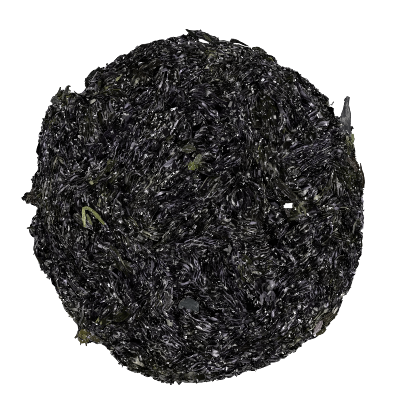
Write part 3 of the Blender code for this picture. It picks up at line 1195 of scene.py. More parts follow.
BLADES = (
    # the lit yellow-green frond with three legs, on the left
    B(((-64.6, -12.2), (-65.0, -7.0), (-65.2, -1.6)), (1.2, 2.0, 1.6), (0.37, 0.40, 0.17), 0.3, 0.15, 1.6),
    B(((-64.4, -11.0), (-64.4, -6.0)), (0.9, 0.8), (0.62, 0.64, 0.42), 0.3, 0.05, 2.0),
    B(((-65.8, -1.2), (-63.0, -0.9), (-60.0, -2.4)), (1.4, 2.0, 1.6), (0.19, 0.21, 0.085), 0.4, 0.15, 1.9),
    B(((-61.4, -1.6), (-59.0, -3.4), (-56.6, -6.2), (-54.6, -8.6), (-52.8, -10.6)), (1.4, 2.1, 2.2, 1.9, 1.0), (0.175, 0.195, 0.070), 0.8, 0.3, 1.5),
    B(((-63.2, -4.4), (-62.0, -7.4), (-60.4, -10.8)), (0.8, 2.0, 1.2), (0.15, 0.165, 0.075), 0.3, 0.2, 1.6),
    # small pale scraps above it, painted glints
    B(((-65.9, 5.2), (-65.4, 2.6)), (0.8, 0.6), (0.46, 0.46, 0.48), 0.5, 0.15, 1.5),
    B(((-64.3, 6.0), (-64.0, 3.4)), (0.6, 0.8), (0.40, 0.40, 0.43), 0.5, 0.15, 1.6),
    B(((-62.4, 5.0), (-63.0, 2.2)), (0.6, 0.8), (0.34, 0.34, 0.37), 0.5, 0.15, 1.5),
    B(((-82.2, 1.4), (-81.2, 3.6)), (0.6, 0.8), (0.42, 0.42, 0.44), 0.5, 0.15, 1.3),
    B(((-73.0, 11.6), (-71.0, 12.0), (-69.0, 12.2)), (0.4, 0.8, 0.5), (0.34, 0.34, 0.34), 0.5, 0.15, 1.3),
    # the bright green spot above the middle
    B(((-7.0, 33.2), (-4.6, 34.0), (-1.4, 34.6), (1.4, 34.0)), (1.0, 4.6, 5.2, 1.2), (0.046, 0.048, 0.028), 0.8, 0.45, 1.2, -0.1, 3.0),
    B(((-0.8, 26.6), (-1.0, 24.2), (-1.2, 21.6)), (2.6, 4.8, 4.0), (0.120, 0.140, 0.032), 0.6, 0.4, 1.3, -0.1, 2.8),
    B(((0.8, 26.0), (1.8, 24.4), (2.4, 22.6)), (1.0, 1.5, 0.9), (0.095, 0.110, 0.035), 0.5, 0.25, 1.3, -0.1, 2.0),
    B(((4.2, 30.9), (2.8, 28.4), (1.0, 26.0)), (1.8, 4.0, 2.6), (0.120, 0.130, 0.080), 1.0, 0.45, 1.5, -0.1, 3.0),
    B(((4.3, 30.6), (3.7, 28.4), (2.9, 25.6)), (0.3, 0.6, 0.4), (0.38, 0.39, 0.31), 0.5, 0.1, 2.0),
    B(((-5.5, 23.4), (-4.2, 24.6), (-3.2, 26.0)), (0.3, 0.7, 0.5), (0.20, 0.21, 0.15), 0.5, 0.1, 1.4),
    B(((-0.2, 18.0), (1.3, 17.4), (2.8, 16.5)), (1.6, 2.0, 1.2), (0.065, 0.070, 0.048), 0.5, 0.3, 0.9, -0.1, 2.0),
    # the pale lavender frond to its left, partly painted highlight, and white scraps on it and right of the middle,
    # painted glints
    B(((-17.8, 24.0), (-14.8, 25.8), (-12.0, 28.6)), (1.0, 2.2, 1.0), (0.20, 0.19, 0.235), 0.9, 0.4, 1.2, -0.1, 2.5),
    B(((-16.8, 23.5), (-14.8, 24.0), (-13.0, 24.9)), (0.5, 1.0, 0.6), (0.44, 0.44, 0.48), 0.5, 0.15, 1.6),
    B(((24.6, 8.6), (26.6, 9.8)), (1.3, 1.1), (0.42, 0.42, 0.44), 0.6, 0.3, 1.2, -0.1, 2.0),
    # the frond that bridges a gap at the far edge
    B(((-4.8, 106.2, 7.5), (-1.6, 104.2, 7.6), (2.0, 103.0, 7.8), (5.6, 102.4, 8.0), (8.6, 100.9, 8.2), (11.8, 98.9, 8.2), (15.4, 97.2, 7.8)),
      (0.7, 2.8, 4.6, 4.6, 4.2, 3.0, 1.6), (0.006, 0.007, 0.005), 0.25, 0.35),
    B(((6.0, 102.6, 8.6), (8.4, 100.6, 8.8), (10.4, 98.9, 8.7)), (0.8, 2.0, 0.8), (0.055, 0.058, 0.032), 0.3, 0.2),
    B(((0.4, 98.9, 6.0), (3.4, 97.9, 6.2), (5.9, 97.2, 6.4), (9.2, 96.5, 6.4), (12.6, 95.6, 6.4)), (1.7, 2.0, 2.0, 2.0, 1.8), (0.006, 0.006, 0.006), 0.5, 0.35, None, -0.1, 2.5),
    B(((9.0, 97.7, 6.2), (12.4, 97.4, 6.4), (15.8, 96.8, 6.6)), (1.5, 3.2, 2.6), (0.007, 0.007, 0.006), 0.5, 0.4, None, -0.1, 2.5),
    B(((-3.4, 101.6, 6.0), (0.2, 100.7, 6.2), (3.3, 99.6, 6.2)), (2.4, 2.6, 1.2), (0.007, 0.007, 0.006), 0.5, 0.35, None, -0.1, 2.5),
    B(((2.6, 101.2, 7.2), (5.9, 100.5, 7.4), (8.6, 99.1, 7.4), (10.4, 98.1, 7.2)), (1.0, 1.4, 1.3, 0.8), (0.006, 0.006, 0.006), 0.4, 0.3, None, -0.1, 2.0),
    # the hooked frond beside it, with the ragged edge that it lies on
    B(((13.6, 97.6, 6.6), (17.2, 98.2, 6.9), (20.6, 97.6, 7.0), (24.0, 97.4, 6.8)), (2.4, 2.6, 2.2, 1.6), (0.006, 0.006, 0.005), 0.4, 0.45, None, -0.1, 3.0),
    B(((22.3, 97.2, 7.0), (23.3, 99.0, 7.4), (25.6, 98.9, 7.6), (28.4, 97.9, 7.6), (31.0, 96.7, 7.4), (33.4, 95.9, 7.0)), (2.4, 2.9, 2.3, 1.4, 1.2, 0.4), (0.006, 0.006, 0.005), 0.5, 0.3, None, -0.1, 2.0),
    B(((22.9, 100.0, 7.4), (23.0, 100.8, 7.4)), (1.0, 0.4), (0.006, 0.006, 0.005), 0.2, 0.1),
    B(((23.8, 96.6, 6.4), (27.0, 96.1, 6.4), (30.4, 95.2, 6.6), (34.4, 94.3, 6.6)), (1.5, 1.9, 1.8, 1.4), (0.006, 0.006, 0.006), 0.6, 0.35, None, -0.1, 2.5),
    # the flat grey blade that stands out on the right, with small teeth
    B(((92.8, 66.0, 6.2), (91.8, 61.4, 6.6), (91.7, 56.6, 7.0), (91.2, 51.8, 7.4), (90.9, 47.0, 7.4), (90.6, 42.2, 6.8)),
      (2.0, 4.3, 5.6, 7.0, 8.0, 8.0), (0.047, 0.048, 0.053), 0.02, 0.08, None, 0.0),
    B(((91.3, 64.6, 6.4), (90.3, 63.2, 6.4)), (1.6, 0.5), (0.047, 0.048, 0.053), 0.0, 0.05),
    B(((91.1, 59.4, 6.6), (89.9, 58.9, 6.5)), (1.5, 0.5), (0.047, 0.048, 0.053), 0.0, 0.05),
    B(((89.3, 54.4, 7.0), (87.1, 52.9, 6.8)), (1.8, 0.6), (0.06, 0.06, 0.065), 0.0, 0.05),
    B(((86.7, 52.0, 7.6), (89.1, 51.2, 7.9), (91.1, 50.2, 8.0)), (0.7, 1.3, 0.6), (0.16, 0.16, 0.165), 0.1, 0.1),
    # the yellow-green lobe under it
    B(((95.2, 43.6, 7.0), (95.3, 40.4, 7.4), (94.3, 37.2, 7.6)), (1.5, 2.6, 1.8), (0.17, 0.19, 0.10), 0.3, 0.15),
    B(((93.9, 38.6, 7.4), (93.3, 34.6, 7.8), (92.8, 31.0, 7.8)), (2.2, 2.8, 1.6), (0.05, 0.052, 0.028), 0.4, 0.25),
    # the thin brown spike and the brown scraps beside it
    B(((100.1, 26.2, 6.5), (100.7, 21.8, 6.8), (101.5, 17.0, 7.0), (101.8, 11.0, 6.6)), (0.5, 1.7, 2.3, 1.8), (0.018, 0.014, 0.007), 0.2, 0.15),
    B(((91.6, 28.6), (94.8, 25.2), (97.2, 20.8)), (2.0, 2.6, 1.4), (0.050, 0.040, 0.033), 0.9, 0.4, 0.6),
    # the knobbly dark tuft on the left and the brown behind it
    B(((-102.7, 3.9, 6.4), (-101.2, 5.2, 6.8), (-99.2, 6.8, 7.0)), (1.9, 3.0, 2.4), (0.004, 0.0035, 0.0035), 0.15, 0.45, None, -0.1, 2.5),
    B(((-103.3, 5.3, 6.4), (-101.4, 5.2, 6.6)), (0.9, 1.5), (0.004, 0.0035, 0.0035), 0.1, 0.2),
    B(((-101.2, 6.4, 6.9), (-99.8, 7.8, 7.2), (-97.4, 7.8, 7.0)), (1.7, 2.0, 1.2), (0.004, 0.0035, 0.004), 0.15, 0.4, None, -0.1, 2.5),
    B(((-99.8, 6.6, 7.0), (-96.8, 5.6, 7.4), (-93.6, 3.2, 7.6)), (2.0, 4.6, 6.2), (0.024, 0.019, 0.012), 0.55, 0.5, None, -0.1, 3.0),
    B(((-95.2, 11.0, 7.4), (-96.4, 8.4, 7.4), (-95.4, 4.8, 7.4)), (2.0, 2.6, 2.0), (0.040, 0.033, 0.026), 0.5, 0.4),
    # the small pointed tip under it
    B(((-100.2, -13.0, 6.5), (-98.4, -13.1, 6.8), (-95.2, -13.4, 7.2)), (0.5, 1.9, 4.0), (0.018, 0.020, 0.010), 0.2, 0.15),
    # the thin olive tuft at the lower left
    B(((-65.9, -73.6, 7.8), (-65.8, -75.8, 7.8), (-65.6, -79.2, 7.4), (-65.2, -82.0, 6.9)), (2.6, 6.2, 7.4, 4.4), (0.076, 0.070, 0.019), 0.35, 0.35, None, 0.0, 2.2),
    B(((-65.0, -76.6, 8.3), (-66.2, -79.6, 8.0)), (2.4, 1.8), (0.150, 0.142, 0.045), 0.3, 0.15, None, 0.0, 1.2),
    B(((-71.2, -64.8, 7.4), (-70.2, -67.6, 7.2), (-68.0, -71.4, 7.2), (-66.9, -74.8, 7.0)), (2.2, 3.8, 3.0, 4.0), (0.008, 0.008, 0.006), 0.6, 0.5, None, -0.1, 3.0),
    B(((-62.6, -65.0, 7.8), (-63.2, -70.0, 7.8), (-62.6, -75.0, 7.4)), (3.0, 4.2, 2.6), (0.022, 0.022, 0.013), 0.7, 0.45, None, -0.1, 3.0),
    B(((-68.6, -76.8, 6.2), (-71.4, -79.2, 6.0)), (3.0, 0.9), (0.055, 0.048, 0.030), 0.0, 0.1),
    B(((-67.6, -80.0, 6.0), (-67.9, -83.4, 5.8)), (1.9, 0.5), (0.050, 0.044, 0.024), 0.0, 0.1),
    B(((-64.6, -80.6, 6.0), (-64.3, -84.0, 5.8)), (1.8, 0.6), (0.050, 0.044, 0.024), 0.0, 0.1),
    B(((-63.6, -76.0, 7.9), (-59.8, -78.6, 7.9), (-55.0, -81.4, 7.2)), (4.6, 5.0, 2.0), (0.060, 0.054, 0.024), 0.5, 0.4, None, -0.1, 2.5),
    # small tips along the lower edge
    B(((-40.6, -94.2, 6.0), (-43.8, -92.6, 5.8)), (1.1, 0.4), (0.02, 0.018, 0.014), 0.1, 0.1),
    B(((-42.2, -93.6, 6.0), (-43.0, -96.8, 5.8)), (1.1, 0.5), (0.02, 0.018, 0.014), 0.1, 0.1),
    B(((-13.0, -103.2, 6.0), (-13.9, -107.2, 5.8)), (2.4, 0.5), (0.010, 0.009, 0.008), 0.1, 0.1),
    B(((86.6, -52.8, 7.0), (89.6, -51.8, 7.0), (92.2, -50.4, 6.8)), (1.4, 0.9, 0.4), (0.008, 0.007, 0.007), 0.1, 0.1),
    B(((89.4, -52.0, 7.0), (91.6, -52.5, 6.8)), (0.8, 0.4), (0.008, 0.007, 0.007), 0.1, 0.1),
    # the pale thin edge at the lower right
    B(((86.0, -60.4, 9.6), (84.9, -62.0, 9.8), (83.8, -64.0, 9.6)), (0.7, 1.1, 0.6), (0.80, 0.78, 0.72), 0.5, 0.2),
    B(((84.4, -60.6, 9.4), (83.4, -61.8, 9.6), (83.2, -63.4, 9.4)), (0.5, 0.8, 0.5), (0.36, 0.35, 0.31), 0.5, 0.15),
    B(((86.0, -64.2, 7.6), (83.6, -66.0, 7.9), (81.0, -68.2, 7.9), (79.2, -70.6, 7.6)), (1.3, 2.8, 2.8, 1.4), (0.048, 0.043, 0.020), 0.8, 0.45, None, -0.1, 3.5),
    B(((83.0, -63.6, 9.2), (80.0, -65.8, 9.2), (77.8, -68.6, 8.8)), (1.6, 2.8, 1.6), (0.060, 0.050, 0.032), 0.4, 0.4, None, -0.1, 3.5),
    B(((76.8, -67.0, 8.2), (75.8, -69.8, 8.4), (74.4, -72.4, 8.2), (72.4, -75.2, 7.8)), (1.6, 3.2, 3.2, 1.4), (0.270, 0.235, 0.245), 0.9, 0.45, None, -0.1, 3.5),
    B(((75.8, -73.2, 8.8), (73.8, -74.8, 8.7), (71.4, -76.3, 8.3)), (0.5, 0.9, 0.7), (0.56, 0.53, 0.55), 0.4, 0.1),
    B(((79.4, -73.2, 7.3), (76.4, -75.6, 7.3), (73.4, -77.2, 7.0)), (1.6, 2.8, 1.3), (0.055, 0.052, 0.025), 0.7, 0.4, None, -0.1, 3.5),
    B(((70.0, -75.8, 7.0), (67.0, -78.6, 6.8), (64.4, -80.4, 6.6)), (1.6, 2.2, 1.0), (0.028, 0.027, 0.020), 0.7, 0.4, None, -0.1, 3.5),
    # the smooth bluish lobe in the lower middle, its pale rim and a near-black band over it, a painted shadow
    B(((-8.6, -60.2), (-6.2, -57.9), (-2.9, -57.9), (0.2, -59.2), (2.3, -62.2)), (1.2, 4.8, 7.2, 6.6, 2.4), (0.044, 0.051, 0.054), 0.2, 0.28, 1.9, -0.08, 2.6),
    B(((-8.9, -59.0), (-7.6, -56.4), (-5.4, -54.6)), (0.3, 0.6, 0.3), (0.15, 0.15, 0.14), 0.2, 0.05, 2.2),
    B(((-10.2, -57.8), (-8.6, -54.6), (-5.4, -52.4), (-1.8, -51.8), (1.6, -52.6), (4.2, -55.0)), (1.0, 2.0, 2.8, 3.0, 2.8, 1.2), (0.0006, 0.0003, 0.0003), 0.0, 0.02, 2.0, 0.12, 0.5),
    # the smooth frond with white edges left of it
    B(((-16.6, -50.8), (-15.0, -54.0), (-15.0, -58.0), (-16.6, -61.0)), (2.0, 3.6, 3.8, 2.0), (0.045, 0.042, 0.040), 0.5, 0.3, 1.0, -0.1, 2.0),
    B(((-17.4, -50.0), (-15.4, -50.8), (-14.4, -53.2)), (0.4, 0.8, 0.5), (0.40, 0.40, 0.40), 0.5, 0.1, 1.9),
    B(((-13.4, -54.8), (-12.6, -56.6)), (0.6, 1.2), (0.46, 0.46, 0.46), 0.5, 0.1, 1.9),
    B(((-13.2, -59.2), (-15.2, -61.6), (-17.4, -61.0)), (0.4, 0.6, 0.4), (0.34, 0.34, 0.34), 0.5, 0.1, 1.9),
    # the pale purple bundle right of the large dark gap, and white scraps on and beside it, painted glints
    B(((41.6, -51.0), (43.8, -53.2), (44.4, -56.6)), (1.8, 3.4, 2.4), (0.075, 0.068, 0.090), 0.9, 0.45, 0.9, -0.1, 3.5),
    B(((45.6, -49.6), (47.4, -52.4), (47.2, -56.0)), (1.2, 2.4, 1.4), (0.050, 0.046, 0.058), 0.9, 0.45, 0.9, -0.1, 3.5),
    B(((43.8, -52.4), (45.8, -50.2)), (0.7, 1.0), (0.44, 0.44, 0.46), 0.5, 0.15, 1.6),
    B(((48.2, -57.4), (50.8, -55.0)), (0.5, 0.8), (0.34, 0.33, 0.32), 0.5, 0.15, 1.5),
    B(((38.6, -56.4), (40.8, -58.4)), (0.6, 1.0), (0.34, 0.33, 0.34), 0.5, 0.15, 1.3),
    # pointed tips beside the notch at the upper left
    B(((-80.8, 67.4, 7.4), (-79.8, 71.6, 7.2)), (2.4, 0.8), (0.020, 0.022, 0.014), 0.4, 0.2),
    B(((-76.8, 67.6, 7.4), (-75.4, 71.6, 7.2), (-73.6, 72.0, 7.0)), (2.8, 2.2, 0.8), (0.020, 0.022, 0.014), 0.4, 0.2),
    B(((-78.6, 64.0, 8.4), (-77.3, 67.8, 8.0), (-75.9, 70.6, 7.6)), (1.2, 1.7, 0.6), (0.09, 0.094, 0.075), 0.5, 0.2),
    B(((-85.2, 62.2, 7.0), (-83.2, 64.2, 7.6), (-80.6, 62.4, 8.4)), (2.0, 3.6, 2.4), (0.055, 0.058, 0.052), 0.7, 0.35),
    # fronds that lie on the edge
    B(((34.8, 94.7, 6.8), (37.4, 94.3, 7.0), (40.4, 93.1, 7.0), (43.9, 91.9, 6.8)), (1.0, 3.2, 3.6, 0.7), (0.018, 0.020, 0.010), 0.5, 0.45, None, -0.1, 3.0),
    B(((43.0, 90.9, 6.8), (46.4, 89.2, 6.8), (50.0, 87.0, 6.6)), (2.0, 2.8, 1.4), (0.008, 0.008, 0.006), 0.5, 0.45, None, -0.1, 3.0),
    B(((-64.0, 75.6, 7.0), (-60.4, 79.4, 7.2), (-56.0, 83.2, 7.0)), (2.4, 3.8, 2.4), (0.008, 0.009, 0.008), 0.4, 0.4),
    B(((96.0, -30.8, 6.6), (97.9, -34.0, 6.8), (96.6, -37.6, 6.6)), (1.6, 2.6, 1.6), (0.008, 0.008, 0.007), 0.4, 0.3),
    B(((10.0, -101.6, 5.6), (16.0, -102.8, 5.8), (21.6, -100.2, 5.6)), (1.8, 3.0, 1.0), (0.010, 0.010, 0.008), 0.5, 0.35),
    B(((30.6, -97.4, 5.6), (38.4, -96.6, 5.8), (46.2, -94.2, 5.6)), (1.4, 2.4, 1.4), (0.010, 0.010, 0.009), 0.5, 0.3),
    # fronds that close round the hole
    B(((50.2, 3.4), (55.6, 2.5), (61.2, 3.1)), (1.2, 1.6, 1.0), (0.010, 0.009, 0.006), 0.4, 0.3, 0.3),
    B(((50.6, -0.6), (55.2, -2.0), (60.6, -1.6)), (1.6, 2.2, 1.6), (0.004, 0.0035, 0.003), 0.5, 0.4, 0.2),
    B(((59.6, 3.8), (59.8, 0.8), (59.2, -2.6)), (1.8, 2.2, 1.6), (0.008, 0.007, 0.005), 0.4, 0.3, 0.2),
    B(((52.2, 3.8), (52.6, 1.2), (53.2, -1.6)), (1.8, 1.7, 1.6), (0.008, 0.007, 0.005), 0.4, 0.3, 0.2),
    B(((54.6, -1.4), (55.8, -3.6), (56.4, -6.2)), (1.2, 2.0, 1.2), (0.045, 0.040, 0.036), 0.8, 0.3, 0.6),
    # olive scraps and the folded band beside the hole
    B(((62.6, 0.8), (65.4, -1.0), (66.4, -4.6)), (0.8, 1.3, 0.9), (0.15, 0.155, 0.09), 0.5, 0.25, 1.3),
    B(((62.6, 0.6), (62.4, -2.6), (64.6, -5.0)), (0.7, 1.1, 0.7), (0.12, 0.125, 0.075), 0.5, 0.25, 1.3),
    B(((57.6, -7.8), (60.0, -7.2), (62.4, -6.4)), (1.0, 1.6, 0.9), (0.075, 0.078, 0.055), 0.5, 0.3, 0.9),
    B(((48.4, 15.6), (53.6, 10.4), (58.4, 5.6), (63.0, 0.6)), (2.2, 3.6, 3.6, 1.6), (0.014, 0.013, 0.010), 0.5, 0.45, 0.7),
    B(((50.8, 16.4), (55.4, 11.4), (60.4, 6.6), (64.4, 2.4)), (1.0, 1.3, 1.2, 0.8), (0.030, 0.029, 0.020), 0.6, 0.3, 1.0),
    # more fronds on the edge
    B(((-47.6, 87.4, 6.6), (-44.2, 89.6, 6.8), (-40.4, 91.0, 6.6)), (0.6, 2.4, 0.6), (0.008, 0.008, 0.007), 0.5, 0.4, None, -0.1, 3.0),
    B(((-36.6, 92.8, 6.6), (-31.0, 95.9, 6.8), (-25.0, 97.8, 6.6)), (0.6, 2.6, 0.6), (0.008, 0.008, 0.007), 0.5, 0.4, None, -0.1, 3.0),
    B(((-64.6, 77.2, 6.6), (-63.8, 74.2, 6.8), (-63.2, 70.6, 7.0)), (1.2, 3.4, 2.2), (0.009, 0.009, 0.007), 0.5, 0.35, None, -0.1, 3.0),
    B(((-92.6, -32.6, 6.6), (-90.8, -36.2, 6.8), (-88.6, -40.4, 6.6)), (1.2, 3.0, 1.6), (0.008, 0.008, 0.008), 0.5, 0.4, None, -0.1, 3.0),
    B(((95.2, 29.4, 7.4), (97.4, 25.6, 7.4), (99.2, 22.2, 7.0)), (1.4, 2.4, 2.0), (0.045, 0.028, 0.020), 0.7, 0.4, None, -0.1, 3.0),
    B(((84.6, 53.6, 6.2), (87.0, 51.8, 6.4), (89.6, 49.6, 6.4)), (2.6, 4.2, 3.4), (0.030, 0.031, 0.032), 0.7, 0.45, None, -0.1, 3.0),
    B(((86.4, -57.0, 7.4), (87.7, -59.2, 7.4), (86.6, -61.6, 7.2)), (1.0, 2.0, 0.8), (0.008, 0.007, 0.008), 0.5, 0.4, None, -0.1, 3.0),
    B(((-54.2, -82.2, 6.4), (-50.9, -84.5, 6.4), (-47.8, -87.2, 6.2)), (1.0, 2.6, 1.0), (0.009, 0.008, 0.008), 0.5, 0.4, None, -0.1, 3.0),
    # deeper fronds in gaps of the mat
    B(((-16.4, -48.6), (-14.2, -46.8), (-12.0, -45.0)), (2.0, 3.6, 2.0), (0.010, 0.009, 0.011), 0.5, 0.45, -0.8, -0.1, 3.5),
    B(((-28.8, -24.4), (-26.6, -22.4), (-24.6, -20.6)), (2.0, 3.6, 2.0), (0.010, 0.009, 0.010), 0.5, 0.45, -0.8, -0.1, 3.5),
    B(((-4.2, -10.8), (-2.2, -9.4), (-0.2, -8.0)), (2.0, 3.6, 2.0), (0.010, 0.009, 0.010), 0.5, 0.45, -0.8, -0.1, 3.5),
    B(((-24.8, 33.6), (-22.6, 35.6), (-20.4, 37.4)), (2.0, 3.6, 2.0), (0.010, 0.009, 0.011), 0.5, 0.45, -0.8, -0.1, 3.5),
    B(((9.0, -24.2), (11.2, -25.6), (13.2, -26.8)), (2.0, 3.6, 2.0), (0.010, 0.009, 0.010), 0.5, 0.45, -0.8, -0.1, 3.5),
)


def placed(line, steps, lift):
    """A smooth line through the given places, where the given places fall along it, and how many there are."""
    pts = np.array(line, float)
    if lift is not None:
        # the nearest place on the mat's upper face, also for points over the hole
        at, _ = SKIN.nearest(np.column_stack([pts[:, :2] * MM, np.full(len(pts), 0.03)]))
        pts = np.column_stack([pts[:, :2], at[:, 2] / MM + lift])
    k = len(pts)
    ext = np.vstack([2 * pts[0] - pts[1], pts, 2 * pts[-1] - pts[-2]])
    t = np.linspace(0, k - 1, steps)
    i = np.clip(t.astype(int), 0, k - 2)
    f = (t - i)[:, None]
    a, b, c, d = ext[i], ext[i + 1], ext[i + 2], ext[i + 3]
    out = 0.5 * (2 * b + (c - a) * f + (2 * a - 5 * b + 4 * c - d) * f**2 + (3 * b - a - 3 * c + d) * f**3)
    return out * MM, t, k


def make_blades(material):
    batch = Batch()
    rng = rng_for("blades")
    steps = 19
    for row in BLADES:
        P, t, k = placed(row["line"], steps, row["lift"])
        N = np.tile((0.0, 0.0, 1.0), (steps, 1))
        widths = np.interp(t, np.arange(k), row["widths"])
        wide = widths.max()
        V, uvc = strips(
            P[None], N[None], rng, np.array([wide]) * MM, np.zeros(1), pleats=11, low=4, wave=0.12 * MM,
            roll=0.10, twist=0.10, dip=0.0, fold=row["fold"] * MM, fold_pitch=2.2 * MM, crease=0.10 * MM * row["rough"],
            pleat=0.10 * MM * row["rough"], arch=row["arch"], own=(widths / wide)[None],
        )
        tags = {
            "tint": np.array([0.45]),
            "olive": np.array([0.0]),
            "face": np.array([1.0]),
            "line": np.array([row["painted_highlight"]]),
            "mood": np.array([0.0]),
            "seed": rng.uniform(0, 100, 1),
        }
        for c, val in zip("rgb", row["colour"]):
            tags["own_" + c] = np.array([val])
        batch.add(above_floor(V), uvc, tags)
    build("blades", batch, material)


def bare(batches, rng, apart=4.5 * MM, cell=1.6 * MM, side=116 * MM, down=True):
    """Places on the top, or underneath, that no frond of the batches covers, some way apart."""
    n = int(2 * side / cell)
    grid = np.zeros((n, n))
    for b in batches:
        for V, _, _ in b.parts:
            ring = V.reshape(-1, 3)
            ring = ring[ring[:, 2] > 5.5 * MM] if down else ring[ring[:, 2] < 3.5 * MM]
            i = np.clip(((ring[:, :2] + side) / cell).astype(int), 1, n - 2)
            for dx, dy in ((0, 0), (1, 0), (-1, 0), (0, 1), (0, -1)):
                np.add.at(grid, (i[:, 0] + dx, i[:, 1] + dy), 1.0)
    xy = (np.argwhere(grid < 5) + 0.5) * cell - side
    xy = rng.permutation(xy)
    rel = np.linalg.norm(xy - MAT_CENTRE[:2], axis=1)
    xy = xy[rel < (108 * MM if down else 101 * MM)]
    eye, look = (0.05, (0, 0, -1)) if down else (-0.02, (0, 0, 1))
    kept = []
    for p in xy:
        if SKIN.tree.ray_cast((p[0], p[1], eye), look)[0] is None:
            continue
        if any(in_gap(p[0], p[1], g, 2.2) for g in GAPS):
            continue
        if down and at_spots(np.array((p[0], p[1], 0.01)), DARK_SPOTS) > 0.4:
            continue
        if all((p[0] - q[0]) ** 2 + (p[1] - q[1]) ** 2 > apart**2 for q in kept):
            kept.append(p)
    print("BARE", len(kept))
    return np.array(kept).reshape(-1, 2)


# ------------------------------------------------------------------ pieces
frond_mat = laver_material("laver_frond")
# painted shade: the deep fronds get a darker copy of the frond material, with weaker crest highlights
deep_shaded_mat = laver_material("laver_deep_shaded", 0.8, 0.35, 0.5)


def kin_depth(rng, kin, mean, between, within):
    k = rng.normal(size=kin.max() + 1) * between
    return mean + k[kin] + rng.normal(size=len(kin)) * within


def make_top():
    lower = Batch()
    rng = rng_for("lower")
    s, w, k = bundles(rng, 130, 99 * MM, (2, 3), 5.5 * MM)
    n = len(s)
    lay_group(lower, rng, s, w, k, rng.uniform(16, 30, n) * MM, 11, rng.uniform(5, 9, n) * MM,
              kin_depth(rng, k, -3.4 * MM, 0.5 * MM, 0.4 * MM), pleats=7, low=3, wave=0.9 * MM)
    build("fronds_lower", lower, deep_shaded_mat)

    broad = Batch()
    rng = rng_for("broad")
    s, w, k = bundles(rng, 84, 98 * MM, (1, 1), 4.5 * MM)
    n = len(s)
    lay_group(broad, rng, s, w, k, rng.uniform(16, 30, n) * MM, 21, rng.uniform(11, 17, n) * MM,
              kin_depth(rng, k, -2.2 * MM, 0.5 * MM, 0.4 * MM), pleats=27, low=8, roll=0.22, shy=True, tip=0.35, tip_up=0.1,
              arch=-0.10, sober=0.4)
    build("fronds_broad", broad, frond_mat)

    middle = Batch()
    rng = rng_for("middle")
    s, w, k = bundles(rng, 140, 99 * MM, (1, 1), 4.5 * MM)
    n = len(s)
    lay_group(middle, rng, s, w, k, rng.uniform(12, 24, n) * MM, 17, rng.uniform(6, 11, n) * MM,
              kin_depth(rng, k, -1.6 * MM, 0.6 * MM, 0.4 * MM), pleats=13, low=5, roll=0.28, shy=True, tip=0.35, tip_up=0.1,
              arch=-0.10, sober=0.6)
    build("fronds_middle", middle, frond_mat)

    upper = Batch()
    rng = rng_for("top")
    s, w, k = bundles(rng, 110, 100 * MM, (1, 3), 4.2 * MM)
    n = len(s)
    lay_group(upper, rng, s, w, k, rng.uniform(7, 17, n) * MM, 13, rng.uniform(3.5, 9, n) * MM,
              kin_depth(rng, k, -0.5 * MM, 0.6 * MM, 0.4 * MM), pleats=8, low=3, tip_up=0.12, shy=True)
    rng = rng_for("patches")
    for _ in range(3):
        hub = top_points(bare((broad, middle, upper), rng))
        n = len(hub)
        if n == 0:
            break
        ang = lay_angle(hub) + rng.normal(size=n) * 0.5
        way = np.stack([np.cos(ang), np.sin(ang), np.zeros(n)], 1)
        lay_group(upper, rng, hub, way, None, rng.uniform(9, 16, n) * MM, 11, rng.uniform(4, 8, n) * MM,
                  rng.normal(size=n) * 0.4 * MM - 2.3 * MM, pleats=8, low=3, tip_up=0.0, tip=0.4, dip=0.6 * MM)
    build("fronds_top", upper, frond_mat)

    flakes = Batch()
    rng = rng_for("flakes")
    s, w, k = bundles(rng, 200, 101 * MM, (1, 2), 4.0 * MM, fan=0.4)
    n = len(s)
    lay_group(flakes, rng, s, w, k, rng.uniform(7, 15, n) * MM, 11, rng.uniform(2.5, 6, n) * MM,
              kin_depth(rng, k, -0.6 * MM, 0.6 * MM, 0.4 * MM), pleats=8, low=3, tip=0.25, taper=0.4, tip_up=0.12,
              fold=0.75 * MM, fold_pitch=4.2 * MM, kink=2.6, crumple=0.03 * MM, shy=True, short=True)
    build("flakes", flakes, frond_mat)

    # long fronds that lie side by side
    strands = Batch()
    rng = rng_for("strands")
    start, way, long = [], [], []
    for x, y, turn, across, length, count in STRANDS:
        c, si = math.cos(math.radians(turn)), math.sin(math.radians(turn))
        for k in range(count):
            side = ((k + rng.uniform(0.1, 0.9)) / count - 0.5) * across
            slip = rng.normal() * 0.16 * length
            start.append((x - si * side + c * slip, y + c * side + si * slip))
            a = math.radians(turn) + rng.normal() * 0.09
            way.append((math.cos(a), math.sin(a), 0.0))
            long.append(length * rng.uniform(0.6, 1.1))
    hub, _ = SKIN.nearest(np.column_stack([np.array(start) * MM, np.full(len(start), 0.03)]))
    n = len(hub)
    lay_group(strands, rng, hub, np.array(way), None, np.array(long) * MM, 19, rng.uniform(1.6, 4.2, n) * MM,
              rng.normal(size=n) * 0.35 * MM + 0.3 * MM, pleats=7, low=3, steer=0.03, curl=0.03, tip_up=0.2,
              wave=0.5 * MM, fold=0.35 * MM, fold_pitch=2.2 * MM, kink=3.8)
    build("strands", strands, frond_mat)

    fine = Batch()
    rng = rng_for("fine")
    s, w, k = bundles(rng, 200, 101 * MM, (1, 3), 1.7 * MM, fan=0.4)
    n = len(s)
    lay_group(fine, rng, s, w, k, rng.uniform(3, 10, n) * MM, 9, rng.uniform(0.8, 2.0, n) * MM,
              kin_depth(rng, k, -0.5 * MM, 0.7 * MM, 0.4 * MM), pleats=4, low=2, fold=0.2 * MM, fold_pitch=1.8 * MM, shy=True, short=True)
    # and some that curl
    s, w, k = bundles(rng, 60, 100 * MM, (1, 2), 2.6 * MM, fan=0.6)
    n = len(s)
    lay_group(fine, rng, s, w, k, rng.uniform(6, 12, n) * MM, 13, rng.uniform(1.2, 2.8, n) * MM,
              kin_depth(rng, k, -0.2 * MM, 0.5 * MM, 0.3 * MM), pleats=5, low=2, fold=0.35 * MM, fold_pitch=2.2 * MM, shy=True,
              short=True, curl=0.18, steer=0.14, tip_up=0.3)
    build("shreds", fine, frond_mat)


